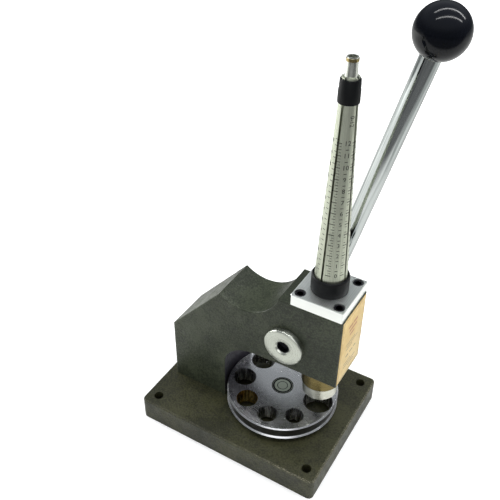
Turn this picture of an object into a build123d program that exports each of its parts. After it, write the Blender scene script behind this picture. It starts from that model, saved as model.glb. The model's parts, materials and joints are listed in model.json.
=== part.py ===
from build123d import *
import math
import os

# Bench press that stretches and reduces finger rings.
# Origin: centre of the four base holes, on the underside of the base.
# +X runs from the column towards the working head, +Y towards the lever, +Z up. Millimetres.

# ---- base -------------------------------------------------------------------
BASE_L = 187.0
BASE_W = 143.0
BASE_T = 23.5
BASE_CORNER_R = 5.0
BASE_EDGE_R = 1.5
BASE_HOLE_D = 9.0
BASE_HOLE_INSET = 12.0

# ---- cast frame: column, arm and head ----------------------------------------
FRAME_W = 49.0
FRAME_REAR_MARGIN = 9.0        # from the rear edge of the base to the column
REAR_WALL_H = 68.0             # upright rear wall, above the base
SADDLE_R = 37.5                # hollow between the peak and the head
SADDLE_X = -8.5
SADDLE_RISE = 10.5             # centre of the hollow, above the top of the head
PEAK_X = -31.2
HEAD_ROOM = 8.5                # over the lock nut on the rack bar
HEAD_FRONT = 24.2              # from the press axis to the front face
CAST_EDGE_R = 1.2
POCKET_GAP = 2.5               # between the die plate and the wall of its pocket
POCKET_CORNER_R = 29.0

# ---- die plate ----------------------------------------------------------------
DIE_X = 24.0
DIE_RIM = 1.5                  # outside the largest hole
DIE_T = 14.5
DIE_EDGE = 1.0
RIM_LOWER = 2.2                # lip below the groove round the rim
RIM_UPPER = 1.8
RIM_GROOVE = 1.3               # depth of the groove
HOLE_CIRCLE_R = 38.0
HOLE_COUNT = 8
HOLE_D_SMALL = 17.4
HOLE_D_LARGE = 28.0
HOLE_TAPER_DEG = 6.0           # each side
HOLE_RIM = 0.6
SPACER_D = 40.0
SPACER_T = 4.5
PIVOT_PIN_D = 12.0
PIVOT_HEAD_D = 20.0
PIVOT_HEAD_T = 6.0
PIVOT_THREAD_D = 10.0
PIVOT_END = 1.0                # thread above the bench
PIVOT_HEAD_EDGE = 0.6
PIVOT_HEAD_GAP = 0.5
NUT_ACROSS = 17.0
NUT_T = 8.0
WASHER_D = 20.0
WASHER_T = 1.6
NUT_RECESS_D = 24.0
NUT_RECESS_H = 11.0

# ---- ram, rack bar and nose ------------------------------------------------------
TRAVEL = 18.5                  # of the rack bar
RAM_STOP_GAP = 0.45            # left between ram and die plate at full travel
RAM_D = 32.0
RAM_T = 12.5
RAM_EDGE = 1.2
RAM_SCREW_D = 6.0
RAM_SCREW_HEAD_D = 10.0
RAM_SCREW_HEAD_T = 5.0
RAM_SCREW_BORE_D = 10.8
RAM_SCREW_SOCKET = 5.0
RAM_SCREW_GRIP = 14.0          # thread in the stem
RAM_SCREW_SINK = 0.5           # head above the face of the ram
STEM_D = 14.0
STEM_SEAT = 4.0                # depth of the stem in the ram
BUSH_GAP = 0.45                # ram to bush at rest
BUSH_D = 35.0
BUSH_SHANK_D = 30.0
BUSH_FLOOR = 4.5
BUSH_DROP = 22.5               # bush below the head
BUSH_SHANK = 8.0
BUSH_EDGE = 0.8
BAR_D = 24.0
BAR_FLAT = 2.4                 # depth of the flat that carries the rack
BAR_END = 2.0                  # rack beyond the mesh at each end
SPRING_WIRE = 2.0
SPRING_D = 21.6
SPRING_TURNS = 4.5

# ---- lever shaft and pinion --------------------------------------------------------
GEAR_MODULE = 2.0
GEAR_TEETH = 18
DEDENDUM = 1.25                # of the module
FLANK_STEPS = 5
GEAR_SIDE_GAP = 1.0
PRESSURE_DEG = 20.0
BACKLASH = 0.16
GEAR_DIP = 1.0                 # pinion below the top of the bush, beside it
SHAFT_D = 20.0
NEAR_BUSH_D = 28.0
GEAR_BORE_GAP = 0.5
SHAFT_PROUD = 1.0              # of the hub
SHAFT_EDGE = 1.0
KEY = 6.0
KEY_PROUD = 2.4                # out of the shaft
KEY_END_GAP = 1.0              # short of the pinion at each end
CAP_D = 36.6
CAP_T = 5.3
CAP_EDGE = 1.0
CAP_THREAD_D = 12.0
CAP_THREAD_L = 16.0
CAP_SOCKET = 10.0              # across flats
CAP_SOCKET_DEPTH = 6.0
CAP_SINK_D = 16.0
CAP_SINK_DEPTH = 1.5

# ---- lever ------------------------------------------------------------------------------
LEVER_Y = 46.0
LEVER_LEAN_DEG = 14.5          # forward of upright at rest
LEVER_LENGTH = 273.0           # shaft axis to the centre of the ball
LEVER_D = 16.0
LEVER_END_D = 10.0
HUB_D = 40.0
HUB_L = 38.0
HUB_NECK_D = 26.0
HUB_NECK_R = 38.0              # end of the neck, from the shaft axis
HUB_WALL = 4.0
HUB_EDGE = 1.0
SET_SCREW_D = 8.0
SET_SCREW_SINK = 0.6
SET_SCREW_SOCKET = 4.0
SET_SCREW_SOCKET_DEPTH = 4.0
BALL_D = 40.0
BALL_FLAT = 1.6
INSERT_D = 16.0
INSERT_L = 22.0
INSERT_FLOOR = 2.0

# ---- top plate -----------------------------------------------------------------------------
PLATE_L = 47.0
PLATE_T = 10.5
PLATE_EDGE = 0.8
PLATE_SCREW_INSET = 6.0
PLATE_SCREW_D = 5.0
PLATE_SCREW_HEAD_D = 8.5
PLATE_SCREW_HEAD_T = 5.0
PLATE_SCREW_BORE_D = 9.6
PLATE_SCREW_L = 20.0
PLATE_SCREW_SOCKET = 4.0
PLATE_SCREW_SINK = 0.5
PLATE_SCREW_GAP = 0.25

# ---- expanding mandrel ---------------------------------------------------------------------
SPREAD = 0.8                   # each jaw, over the full travel
MANDREL_D = 28.0               # at the top plate
MANDREL_TAPER = 0.0854         # diameter lost for each millimetre of height
MANDREL_H = 182.5              # above the top plate
SLOT = 1.8
JAW_TURN_DEG = -9.5            # slots from the sides of the head
NECK_STEP = 0.8                # neck inside the mandrel's radius
FOOT_STEP = 3.8                # foot outside the neck
FOOT_T = 3.7
WEDGE_FLAT = 5.0               # half width of the lower wedge at its thin end
TIP_FLAT = 3.5                 # half width of the upper wedge at its thin end
WEDGE_LAND = 8.0               # contact length that is kept at full travel
LOWER_WEDGE_RISE = 24.5        # above the top plate
WEDGE_ROUND = 0.5              # round of the wedge outside its flats
WEDGE_PROUD = 0.5              # upper wedge above the jaws
SPINDLE_D = 8.0
SPINDLE_WAIST_D = 6.2
SPINDLE_TIP_D = 8.2
SPINDLE_TIP_BASE_D = 9.2
SPINDLE_TIP = 13.5             # above the jaws
SPINDLE_TIP_BORE = 6.0
SPINDLE_TIP_BORE_DEPTH = 8.0
SPINDLE_SEAT = 14.0            # threaded into the rack bar
TIP_RING_D = 9.0
TIP_RING_T = 2.0
TIP_RING_DROP = 0.9            # below the end of the spindle
LOCK_NUT_ACROSS = 13.0
LOCK_NUT_T = 6.0

# ---- rubber rings ------------------------------------------------------------------------
COLLAR_WALL = 1.8              # at the top plate
COLLAR_H = 15.5
COLLAR_EDGE = 0.8
SLEEVE_WALL = 0.95             # at its lower end
SLEEVE_H = 17.2
SLEEVE_LIP = 0.6               # wall at its upper end
SLEEVE_TAPER_H = 7.0
SLEEVE_DROP = 1.2              # top of the sleeve below the jaw tops
SLEEVE_EDGE = 0.4

# ---- frame fasteners and label ------------------------------------------------------------
BOLT_D = 8.0
BOLT_HEAD_D = 13.0
BOLT_HEAD_T = 8.0
BOLT_RECESS_D = 14.0
BOLT_L = 34.0
BOLT_SOCKET = 6.0
BOLT_SINK = 1.0                # head above the bench
BOLT_GAP = 0.5
BOLT_PITCH_X = 28.0
BOLT_PITCH_Y = 28.0
DOWEL_D = 6.0
DOWEL_L = 20.0
SCREW_HEAD_EDGE = 0.4
SOCKET_DEPTH = 0.6             # of a screw head
DRILL_PAST = 3.0               # hole beyond the end of a screw
LABEL_W = 45.0
LABEL_H = 71.0
LABEL_T = 0.4

# ---- fits ------------------------------------------------------------------------------------
RUNNING = 0.05                 # radial, a shaft or bar that turns or slides
FACE_GAP = 0.3                 # beside a turning face
SEAT_GAP = 0.03                # wedge to jaw at rest
JAW_GAP = 0.15                 # round the feet of the jaws
WEDGE_GAP = 0.4                # round of the wedge to the jaws

# ---- heights and places that follow ---------------------------------------------------------
AXIS_X = DIE_X + HOLE_CIRCLE_R
DIE_R = HOLE_CIRCLE_R + HOLE_D_LARGE / 2 + DIE_RIM
DIE_Z0 = BASE_T + SPACER_T + RUNNING
DIE_Z1 = DIE_Z0 + DIE_T
RAM_Z0 = DIE_Z1 + RAM_STOP_GAP + TRAVEL
RAM_Z1 = RAM_Z0 + RAM_T
BUSH_Z0 = RAM_Z1 + BUSH_GAP
SPRING_Z0 = BUSH_Z0 + BUSH_FLOOR
HEAD_Z0 = BUSH_Z0 + BUSH_DROP
FACE_Y = FRAME_W / 2
WALL_Y = BAR_D / 2             # inner face of both walls beside the pinion

GEAR_R = GEAR_MODULE * GEAR_TEETH / 2
GEAR_TIP_R = GEAR_R + GEAR_MODULE
GEAR_ROOT_R = GEAR_R - DEDENDUM * GEAR_MODULE
GEAR_W = 2 * (WALL_Y - GEAR_SIDE_GAP)
RACK_TIP_X = AXIS_X - BAR_D / 2 + BAR_FLAT
RACK_PITCH_X = RACK_TIP_X + GEAR_MODULE
SHAFT_X = RACK_PITCH_X - GEAR_R
SHAFT_Z = HEAD_Z0 + BUSH_SHANK + GEAR_TIP_R - GEAR_DIP
MESH_H = math.sqrt(GEAR_TIP_R**2 - (GEAR_R - GEAR_MODULE) ** 2)
BAR_Z0 = SHAFT_Z - MESH_H - BAR_END
BAR_Z1 = SHAFT_Z + MESH_H + TRAVEL + BAR_END

HEAD_Z1 = BAR_Z1 + LOCK_NUT_T + HEAD_ROOM
PLATE_Z1 = HEAD_Z1 + PLATE_T
JAW_Z1 = PLATE_Z1 + MANDREL_H
NECK_R = MANDREL_D / 2 - NECK_STEP
FOOT_R = NECK_R + FOOT_STEP
LOWER_WEDGE_Z = PLATE_Z1 + LOWER_WEDGE_RISE
WEDGE_SLOPE = SPREAD / TRAVEL
WEDGE_L = WEDGE_LAND + TRAVEL
UPPER_WEDGE_Z = JAW_Z1 - WEDGE_L + WEDGE_PROUD

UP = (Align.CENTER, Align.CENTER, Align.MIN)


def drum(radius, z0, z1, x=0.0, y=0.0):
    """Upright cylinder between two heights."""
    return Pos(x, y, z0) * Cylinder(radius, z1 - z0, align=UP)


def cross_drum(radius, y0, y1, x=SHAFT_X, z=SHAFT_Z):
    """Cylinder along Y between two stations."""
    return Pos(x, y0, z) * Rot(-90, 0, 0) * Cylinder(radius, y1 - y0, align=UP)


def cone(r0, r1, z0, z1, x=0.0, y=0.0):
    """Upright cone from radius r0 at z0 to radius r1 at z1."""
    return Pos(x, y, z0) * Cone(r0, r1, z1 - z0, align=UP)


def block(x0, x1, y0, y1, z0, z1):
    """Box between two corners."""
    return Pos((x0 + x1) / 2, (y0 + y1) / 2, z0) * Box(x1 - x0, y1 - y0, z1 - z0, align=UP)


def hexagon(across, z0, z1, x=0.0, y=0.0):
    """Upright hexagonal prism."""
    outline = RegularPolygon(across / 2, 6, major_radius=False)
    return Pos(x, y, z0) * extrude(outline, z1 - z0)


def socket_screw(shank_d, shank_l, head_d, head_t, socket):
    """Cap screw that points down, with the underside of its head at z = 0."""
    head = chamfer(drum(head_d / 2, 0, head_t).edges().sort_by(Axis.Z)[-1], SCREW_HEAD_EDGE)
    screw = head + drum(shank_d / 2, -shank_l, 0)
    return screw - hexagon(socket, head_t * (1 - SOCKET_DEPTH), head_t + 1)


def base_holes():
    x = BASE_L / 2 - BASE_HOLE_INSET
    y = BASE_W / 2 - BASE_HOLE_INSET
    return [(x, y), (-x, y), (-x, -y), (x, -y)]


def column_centre():
    rear = -BASE_L / 2 + FRAME_REAR_MARGIN
    front = DIE_X - DIE_R - POCKET_GAP
    return (rear + front) / 2


def bolt_places():
    x = column_centre()
    return [(x + i * BOLT_PITCH_X / 2, j * BOLT_PITCH_Y / 2) for i in (-1, 1) for j in (-1, 1)]


def dowel_places():
    return [(column_centre(), j * BOLT_PITCH_Y / 2) for j in (-1, 1)]


def plate_screw_places():
    x = PLATE_L / 2 - PLATE_SCREW_INSET
    y = FACE_Y - PLATE_SCREW_INSET
    return [(AXIS_X + i * x, j * y) for i in (-1, 1) for j in (-1, 1)]


def plate_screw_seat():
    return PLATE_Z1 - PLATE_SCREW_HEAD_T - PLATE_SCREW_SINK


def base_plate():
    body = Pos(0, 0, 0) * extrude(RectangleRounded(BASE_L, BASE_W, BASE_CORNER_R), BASE_T)
    body = fillet(body.faces().sort_by(Axis.Z)[-1].edges(), BASE_EDGE_R)
    for x, y in base_holes():
        body -= drum(BASE_HOLE_D / 2, -1, BASE_T + 1, x, y)
    for x, y in bolt_places():
        body -= drum(BOLT_D / 2 + BOLT_GAP, -1, BASE_T + 1, x, y)
        body -= drum(BOLT_RECESS_D / 2, -1, BOLT_HEAD_T + BOLT_SINK, x, y)
    for x, y in dowel_places():
        body -= drum(DOWEL_D / 2, BASE_T - DOWEL_L / 2, BASE_T + 1, x, y)
    body -= drum(PIVOT_PIN_D / 2, -1, BASE_T + 1, DIE_X)
    body -= drum(NUT_RECESS_D / 2, -1, NUT_RECESS_H, DIE_X)
    return body


def frame_outline():
    """Side view of the casting, before its throat is cut."""
    rear = -BASE_L / 2 + FRAME_REAR_MARGIN
    centre_z = HEAD_Z1 + SADDLE_RISE

    def saddle(x):
        return centre_z - math.sqrt(SADDLE_R**2 - (x - SADDLE_X) ** 2)

    head_rear = SADDLE_X + math.sqrt(SADDLE_R**2 - SADDLE_RISE**2)
    peak = (PEAK_X, saddle(PEAK_X))
    head_top = (head_rear, HEAD_Z1)
    front = AXIS_X + HEAD_FRONT
    lower = Polyline(
        head_top, (front, HEAD_Z1), (front, HEAD_Z0), (DIE_X, HEAD_Z0),
        (DIE_X, BASE_T), (rear, BASE_T), (rear, BASE_T + REAR_WALL_H), peak,
    )
    hollow = ThreePointArc(peak, (SADDLE_X, centre_z - SADDLE_R), head_top)
    return Plane.XZ * make_face([lower, hollow])


def die_pocket():
    """Round room for the die plate, with a rounded top corner."""
    wall = DIE_R + POCKET_GAP
    inner = wall - POCKET_CORNER_R
    corner_z = HEAD_Z0 - POCKET_CORNER_R
    bend = POCKET_CORNER_R / math.sqrt(2)
    side = Polyline((inner, HEAD_Z0), (0, HEAD_Z0), (0, BASE_T), (wall, BASE_T), (wall, corner_z))
    corner = ThreePointArc((wall, corner_z), (inner + bend, corner_z + bend), (inner, HEAD_Z0))
    section = Plane.XZ * make_face([side, corner])
    return Pos(DIE_X, 0, 0) * revolve(section, Axis.Z)


def press_frame():
    body = extrude(frame_outline(), FACE_Y, both=True)
    sides = body.faces().filter_by(Axis.Y)
    rims = [e for face in sides for e in face.edges() if e.center().Z > BASE_T + 1]
    body = fillet(rims, CAST_EDGE_R)
    body -= die_pocket()
    body -= drum(BAR_D / 2 + RUNNING, HEAD_Z0 - 1, HEAD_Z1 + 1, AXIS_X)
    body -= drum(BUSH_SHANK_D / 2, HEAD_Z0 - 1, HEAD_Z0 + BUSH_SHANK, AXIS_X)
    body -= cross_drum(GEAR_TIP_R + GEAR_BORE_GAP, -WALL_Y, FACE_Y + 1)
    body -= cross_drum(NEAR_BUSH_D / 2, -FACE_Y - 1, FACE_Y)
    for x, y in bolt_places():
        end = BOLT_HEAD_T + BOLT_SINK + BOLT_L + DRILL_PAST
        body -= drum(BOLT_D / 2, BASE_T - 1, end, x, y)
    for x, y in dowel_places():
        body -= drum(DOWEL_D / 2, BASE_T - 1, BASE_T + DOWEL_L / 2, x, y)
    for x, y in plate_screw_places():
        end = plate_screw_seat() - PLATE_SCREW_L - DRILL_PAST
        body -= drum(PLATE_SCREW_D / 2, end, HEAD_Z1 + 1, x, y)
    return body


def frame_bolts():
    screw = socket_screw(BOLT_D, BOLT_L, BOLT_HEAD_D, BOLT_HEAD_T, BOLT_SOCKET)
    seat = BOLT_HEAD_T + BOLT_SINK
    return [Pos(x, y, seat) * Rot(180, 0, 0) * screw for x, y in bolt_places()]


def dowel_pins():
    z = BASE_T - DOWEL_L / 2
    return [drum(DOWEL_D / 2, z, z + DOWEL_L, x, y) for x, y in dowel_places()]


def near_shaft_bush():
    ring = cross_drum(NEAR_BUSH_D / 2, -FACE_Y, -WALL_Y)
    return ring - cross_drum(SHAFT_D / 2 + RUNNING, -FACE_Y - 1, FACE_Y)


def far_shaft_bush():
    ring = cross_drum(GEAR_TIP_R + GEAR_BORE_GAP, WALL_Y, FACE_Y)
    return ring - cross_drum(SHAFT_D / 2 + RUNNING, 0, FACE_Y + 1)


def nose_bush():
    outer = drum(BUSH_D / 2, BUSH_Z0, HEAD_Z0, AXIS_X)
    outer = chamfer(outer.edges().sort_by(Axis.Z)[0], BUSH_EDGE)
    outer += drum(BUSH_SHANK_D / 2, HEAD_Z0, HEAD_Z0 + BUSH_SHANK, AXIS_X)
    outer -= drum(BAR_D / 2 + RUNNING, SPRING_Z0, HEAD_Z0 + BUSH_SHANK + 1, AXIS_X)
    return outer - drum(STEM_D / 2 + RUNNING, BUSH_Z0 - 1, SPRING_Z0 + 1, AXIS_X)


def return_spring():
    """Open coil between the floor of the bush and the shoulder of the rack bar."""
    radius = (SPRING_D - SPRING_WIRE) / 2
    z0 = SPRING_Z0 + SPRING_WIRE / 2
    height = BAR_Z0 - SPRING_Z0 - SPRING_WIRE
    route = Pos(AXIS_X, 0, z0) * Helix(height / SPRING_TURNS, height, radius)
    section = Plane(origin=route @ 0, z_dir=route % 0) * Circle(SPRING_WIRE / 2)
    return sweep(section, route)


def label_plate():
    x = AXIS_X + HEAD_FRONT
    z = (HEAD_Z0 + HEAD_Z1) / 2
    half_h = LABEL_H / 2
    return block(x, x + LABEL_T, -LABEL_W / 2, LABEL_W / 2, z - half_h, z + half_h)


def top_plate():
    half = PLATE_L / 2
    body = block(AXIS_X - half, AXIS_X + half, -FACE_Y, FACE_Y, HEAD_Z1, PLATE_Z1)
    body = chamfer(body.edges().filter_by(Axis.Z), PLATE_EDGE)
    body = chamfer(body.faces().sort_by(Axis.Z)[-1].edges(), PLATE_EDGE / 2)
    body -= drum(NECK_R + SPREAD + 2 * JAW_GAP, HEAD_Z1 - 1, PLATE_Z1 + 1, AXIS_X)
    body -= drum(FOOT_R + SPREAD + 2 * JAW_GAP, HEAD_Z1 - 1, HEAD_Z1 + FOOT_T + 2 * JAW_GAP, AXIS_X)
    for x, y in plate_screw_places():
        body -= drum(PLATE_SCREW_D / 2 + PLATE_SCREW_GAP, HEAD_Z1 - 1, PLATE_Z1 + 1, x, y)
        body -= drum(PLATE_SCREW_BORE_D / 2, plate_screw_seat(), PLATE_Z1 + 1, x, y)
    return body


def plate_screws():
    screw = socket_screw(
        PLATE_SCREW_D, PLATE_SCREW_L, PLATE_SCREW_HEAD_D, PLATE_SCREW_HEAD_T, PLATE_SCREW_SOCKET
    )
    return [Pos(x, y, plate_screw_seat()) * screw for x, y in plate_screw_places()]


def mandrel_radius(z):
    """Radius of the closed mandrel at a height."""
    return (MANDREL_D - MANDREL_TAPER * (z - PLATE_Z1)) / 2


def mandrel_bore(z0, z1):
    """Taper that clears the closed mandrel, cut from a ring between two heights."""
    low, high = z0 - 1, z1 + 1
    return cone(mandrel_radius(low) + RUNNING, mandrel_radius(high) + RUNNING, low, high, AXIS_X)


def mandrel_collar():
    z0, z1 = PLATE_Z1, PLATE_Z1 + COLLAR_H
    ring = drum(MANDREL_D / 2 + COLLAR_WALL, z0, z1, AXIS_X)
    ring = chamfer(ring.edges().sort_by(Axis.Z)[-1], COLLAR_EDGE)
    return ring - mandrel_bore(z0, z1)


def rubber_sleeve():
    z1 = JAW_Z1 - SLEEVE_DROP
    z0 = z1 - SLEEVE_H
    outer, taper_z = mandrel_radius(z0) + SLEEVE_WALL, z1 - SLEEVE_TAPER_H
    ring = drum(outer, z0, taper_z, AXIS_X)
    ring += cone(outer, mandrel_radius(z1) + SLEEVE_LIP, taper_z, z1, AXIS_X)
    ends = ring.edges().filter_by(GeomType.CIRCLE).sort_by(Axis.Z)
    ring = fillet([ends[0], ends[-1]], SLEEVE_EDGE)
    return ring - mandrel_bore(z0, z1)


def hole_diameters():
    step = (HOLE_D_LARGE - HOLE_D_SMALL) / (HOLE_COUNT - 1)
    return [HOLE_D_LARGE] + [HOLE_D_SMALL + step * i for i in range(HOLE_COUNT - 1)]


def hole_angles():
    """Angle of each hole, clockwise from the ram, with an even web between neighbours."""
    sizes = hole_diameters()
    web = 2 * math.pi * HOLE_CIRCLE_R - sum(sizes)
    angles = [0.0]
    for first, second in zip(sizes, sizes[1:]):
        arc = (first + second) / 2 + web / HOLE_COUNT
        angles.append(angles[-1] - arc / HOLE_CIRCLE_R)
    return angles


def rim_groove():
    z0, z1 = DIE_Z0 + RIM_LOWER, DIE_Z1 - RIM_UPPER
    inner = DIE_R - RIM_GROOVE
    core = drum(inner, z0, z1, DIE_X)
    core += cone(DIE_R, inner, z0, z0 + RIM_GROOVE, DIE_X)
    core += cone(inner, DIE_R, z1 - RIM_GROOVE, z1, DIE_X)
    return drum(DIE_R + 1, z0, z1, DIE_X) - core


def die_plate():
    body = drum(DIE_R, DIE_Z0, DIE_Z1, DIE_X)
    body = chamfer(body.edges().filter_by(GeomType.CIRCLE), DIE_EDGE) - rim_groove()
    taper = math.tan(math.radians(HOLE_TAPER_DEG))
    for size, angle in zip(hole_diameters(), hole_angles()):
        x = DIE_X + HOLE_CIRCLE_R * math.cos(angle)
        y = HOLE_CIRCLE_R * math.sin(angle)
        top = size / 2
        body -= cone(top - taper * (DIE_T + 1), top + taper, DIE_Z0 - 1, DIE_Z1 + 1, x, y)
        body -= cone(top - HOLE_RIM, top + HOLE_RIM, DIE_Z1 - HOLE_RIM, DIE_Z1 + HOLE_RIM, x, y)
    body -= drum(PIVOT_PIN_D / 2 + RUNNING, DIE_Z0 - 1, DIE_Z1 + 1, DIE_X)
    return body - drum(PIVOT_HEAD_D / 2 + PIVOT_HEAD_GAP, DIE_Z1 - PIVOT_HEAD_T, DIE_Z1 + 1, DIE_X)


def die_spacer():
    ring = drum(SPACER_D / 2, BASE_T, BASE_T + SPACER_T, DIE_X)
    return ring - drum(PIVOT_PIN_D / 2, BASE_T - 1, BASE_T + SPACER_T + 1, DIE_X)


def die_pivot():
    head_z = DIE_Z1 - PIVOT_HEAD_T + RUNNING
    head = drum(PIVOT_HEAD_D / 2, head_z, DIE_Z1, DIE_X)
    head = chamfer(head.edges().sort_by(Axis.Z)[-1], PIVOT_HEAD_EDGE)
    shank = drum(PIVOT_PIN_D / 2, NUT_RECESS_H, head_z, DIE_X)
    return head + shank + drum(PIVOT_THREAD_D / 2, PIVOT_END, NUT_RECESS_H, DIE_X)


def die_pivot_washer():
    ring = drum(WASHER_D / 2, NUT_RECESS_H - WASHER_T, NUT_RECESS_H, DIE_X)
    return ring - drum(PIVOT_THREAD_D / 2, 0, NUT_RECESS_H + 1, DIE_X)


def die_pivot_nut():
    z1 = NUT_RECESS_H - WASHER_T
    nut = hexagon(NUT_ACROSS, z1 - NUT_T, z1, DIE_X)
    return nut - drum(PIVOT_THREAD_D / 2, 0, NUT_RECESS_H, DIE_X)


def involute_point(radius, half_angle, side):
    """Point of a tooth flank at a radius; half_angle is that of the tooth at the pitch circle."""
    base = GEAR_R * math.cos(math.radians(PRESSURE_DEG))
    pressure = math.radians(PRESSURE_DEG)
    at_pitch = math.tan(pressure) - pressure
    here = math.acos(min(1.0, base / radius))
    angle = half_angle + at_pitch - (math.tan(here) - here)
    return radius, side * angle


def gear_outline():
    """Pinion in the XZ view about its own centre, with a tooth gap on +X."""
    base = GEAR_R * math.cos(math.radians(PRESSURE_DEG))
    half_angle = math.pi / (2 * GEAR_TEETH) - BACKLASH / (4 * GEAR_R)
    rise = (GEAR_TIP_R - base) / FLANK_STEPS
    radii = [base + rise * i for i in range(FLANK_STEPS + 1)]
    points = []
    for tooth in range(GEAR_TEETH):
        middle = 2 * math.pi * (tooth + 0.5) / GEAR_TEETH
        rising = [involute_point(r, half_angle, -1) for r in radii]
        falling = [involute_point(r, half_angle, 1) for r in reversed(radii)]
        flank = [(GEAR_ROOT_R, rising[0][1])] + rising + falling + [(GEAR_ROOT_R, falling[-1][1])]
        points += [(r * math.cos(middle + a), r * math.sin(middle + a)) for r, a in flank]
    return make_face(Polyline(*points, close=True))


def key_block(overrun=0.0):
    """Key between shaft and pinion, on the side away from the rack."""
    x0 = SHAFT_X - SHAFT_D / 2 - KEY_PROUD
    y = GEAR_W / 2 - KEY_END_GAP + overrun
    return block(x0, x0 + KEY, -y, y, SHAFT_Z - KEY / 2, SHAFT_Z + KEY / 2)


def pinion():
    blank = extrude(Plane.XZ * gear_outline(), GEAR_W / 2, both=True)
    gear = Pos(SHAFT_X, 0, SHAFT_Z) * blank
    gear -= cross_drum(SHAFT_D / 2, -GEAR_W, GEAR_W)
    return gear - key_block(GEAR_W)


def pivot_shaft():
    y0 = -FACE_Y - FACE_GAP
    y1 = FACE_Y + FACE_GAP + HUB_L + SHAFT_PROUD
    shaft = cross_drum(SHAFT_D / 2, y0, y1)
    shaft = chamfer(shaft.edges().sort_by(Axis.Y)[-1], SHAFT_EDGE)
    shaft -= cross_drum(CAP_THREAD_D / 2, y0 - 1, y0 + CAP_THREAD_L + DRILL_PAST)
    return shaft - key_block()


def shaft_cap():
    y1 = -FACE_Y - FACE_GAP
    y0 = y1 - CAP_T
    head = cross_drum(CAP_D / 2, y0, y1)
    head = chamfer(head.edges().sort_by(Axis.Y)[0], CAP_EDGE)
    cap = head + cross_drum(CAP_THREAD_D / 2, y1, y1 + CAP_THREAD_L)
    inward = Pos(SHAFT_X, y0, SHAFT_Z) * Rot(-90, 0, 0)
    slope = (CAP_SINK_D - CAP_SOCKET) / 2 / CAP_SINK_DEPTH
    sink = cone(CAP_SINK_D / 2 + slope, CAP_SOCKET / 2, -1, CAP_SINK_DEPTH)
    return cap - inward * hexagon(CAP_SOCKET, -1, CAP_SOCKET_DEPTH) - inward * sink


def along_lever(shape):
    """Places a shape drawn up the Z axis on the line of the lever."""
    return Pos(SHAFT_X, LEVER_Y, SHAFT_Z) * Rot(0, LEVER_LEAN_DEG, 0) * shape


def rod_start():
    return SHAFT_D / 2 + HUB_WALL


def lever_hub():
    y0 = FACE_Y + FACE_GAP
    barrel = cross_drum(HUB_D / 2, y0, y0 + HUB_L)
    barrel = chamfer(barrel.edges().filter_by(GeomType.CIRCLE), HUB_EDGE)
    neck = along_lever(drum(HUB_NECK_D / 2, 0, HUB_NECK_R))
    body = barrel + neck
    body -= cross_drum(SHAFT_D / 2, y0 - 1, y0 + HUB_L + 1)
    body -= along_lever(drum(LEVER_D / 2, rod_start(), HUB_NECK_R + 1))
    return body - along_lever(drum(SET_SCREW_D / 2, -HUB_D, -SHAFT_D / 2))


def hub_set_screw():
    outer = -HUB_D / 2 + SET_SCREW_SINK
    screw = drum(SET_SCREW_D / 2, outer, -SHAFT_D / 2)
    screw -= hexagon(SET_SCREW_SOCKET, outer - 1, outer + SET_SCREW_SOCKET_DEPTH)
    return along_lever(screw)


def lever_rod():
    rod = drum(LEVER_D / 2, rod_start(), ball_entry())
    rod += drum(LEVER_END_D / 2, ball_entry(), ball_entry() + INSERT_L - INSERT_FLOOR)
    return along_lever(rod)


def ball_entry():
    """Distance from the shaft axis to the flat of the ball."""
    return LEVER_LENGTH - BALL_D / 2 + BALL_FLAT


def knob_insert():
    ring = drum(INSERT_D / 2, ball_entry(), ball_entry() + INSERT_L)
    bore = drum(LEVER_END_D / 2, ball_entry() - 1, ball_entry() + INSERT_L - INSERT_FLOOR)
    return along_lever(ring - bore)


def ball_knob():
    ball = Pos(0, 0, LEVER_LENGTH) * Sphere(BALL_D / 2)
    ball -= drum(BALL_D, LEVER_LENGTH - BALL_D, ball_entry())
    ball -= drum(INSERT_D / 2, ball_entry() - 1, ball_entry() + INSERT_L)
    return along_lever(ball)


def rack_bar():
    bar = drum(BAR_D / 2, BAR_Z0, BAR_Z1, AXIS_X)
    bar -= block(AXIS_X - BAR_D, RACK_TIP_X, -BAR_D, BAR_D, BAR_Z0 - 1, BAR_Z1 + 1)
    pitch = math.pi * GEAR_MODULE
    root_x = RACK_PITCH_X + DEDENDUM * GEAR_MODULE
    slope = math.tan(math.radians(PRESSURE_DEG))
    half_gap = pitch / 4 + BACKLASH / 4
    count = math.ceil((BAR_Z1 - BAR_Z0) / pitch)
    for i in range(-count, count + 1):
        middle = SHAFT_Z + (i + 0.5) * pitch
        if not BAR_Z0 + pitch / 2 < middle < BAR_Z1 - pitch / 2:
            continue
        tip = half_gap + slope * (RACK_PITCH_X - RACK_TIP_X + 1)
        root = half_gap - slope * (root_x - RACK_PITCH_X)
        gap = Polyline(
            (RACK_TIP_X - 1, middle - tip), (root_x, middle - root),
            (root_x, middle + root), (RACK_TIP_X - 1, middle + tip), close=True,
        )
        bar -= extrude(Plane.XZ * make_face(gap), BAR_D, both=True)
    stem_z = RAM_Z1 - STEM_SEAT
    bar += drum(STEM_D / 2, stem_z, BAR_Z0, AXIS_X)
    bar -= drum(RAM_SCREW_D / 2, stem_z - 1, stem_z + RAM_SCREW_GRIP + DRILL_PAST, AXIS_X)
    return bar - drum(SPINDLE_D / 2, BAR_Z1 - SPINDLE_SEAT, BAR_Z1 + 1, AXIS_X)


def ram_screw_seat():
    return RAM_Z0 + RAM_SCREW_SINK + RAM_SCREW_HEAD_T


def ram_button():
    body = chamfer(drum(RAM_D / 2, RAM_Z0, RAM_Z1, AXIS_X).edges().sort_by(Axis.Z)[0], RAM_EDGE)
    body -= drum(STEM_D / 2, RAM_Z1 - STEM_SEAT, RAM_Z1 + 1, AXIS_X)
    body -= drum(RAM_SCREW_D / 2, RAM_Z0, RAM_Z1, AXIS_X)
    return body - drum(RAM_SCREW_BORE_D / 2, RAM_Z0 - 1, ram_screw_seat(), AXIS_X)


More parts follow.
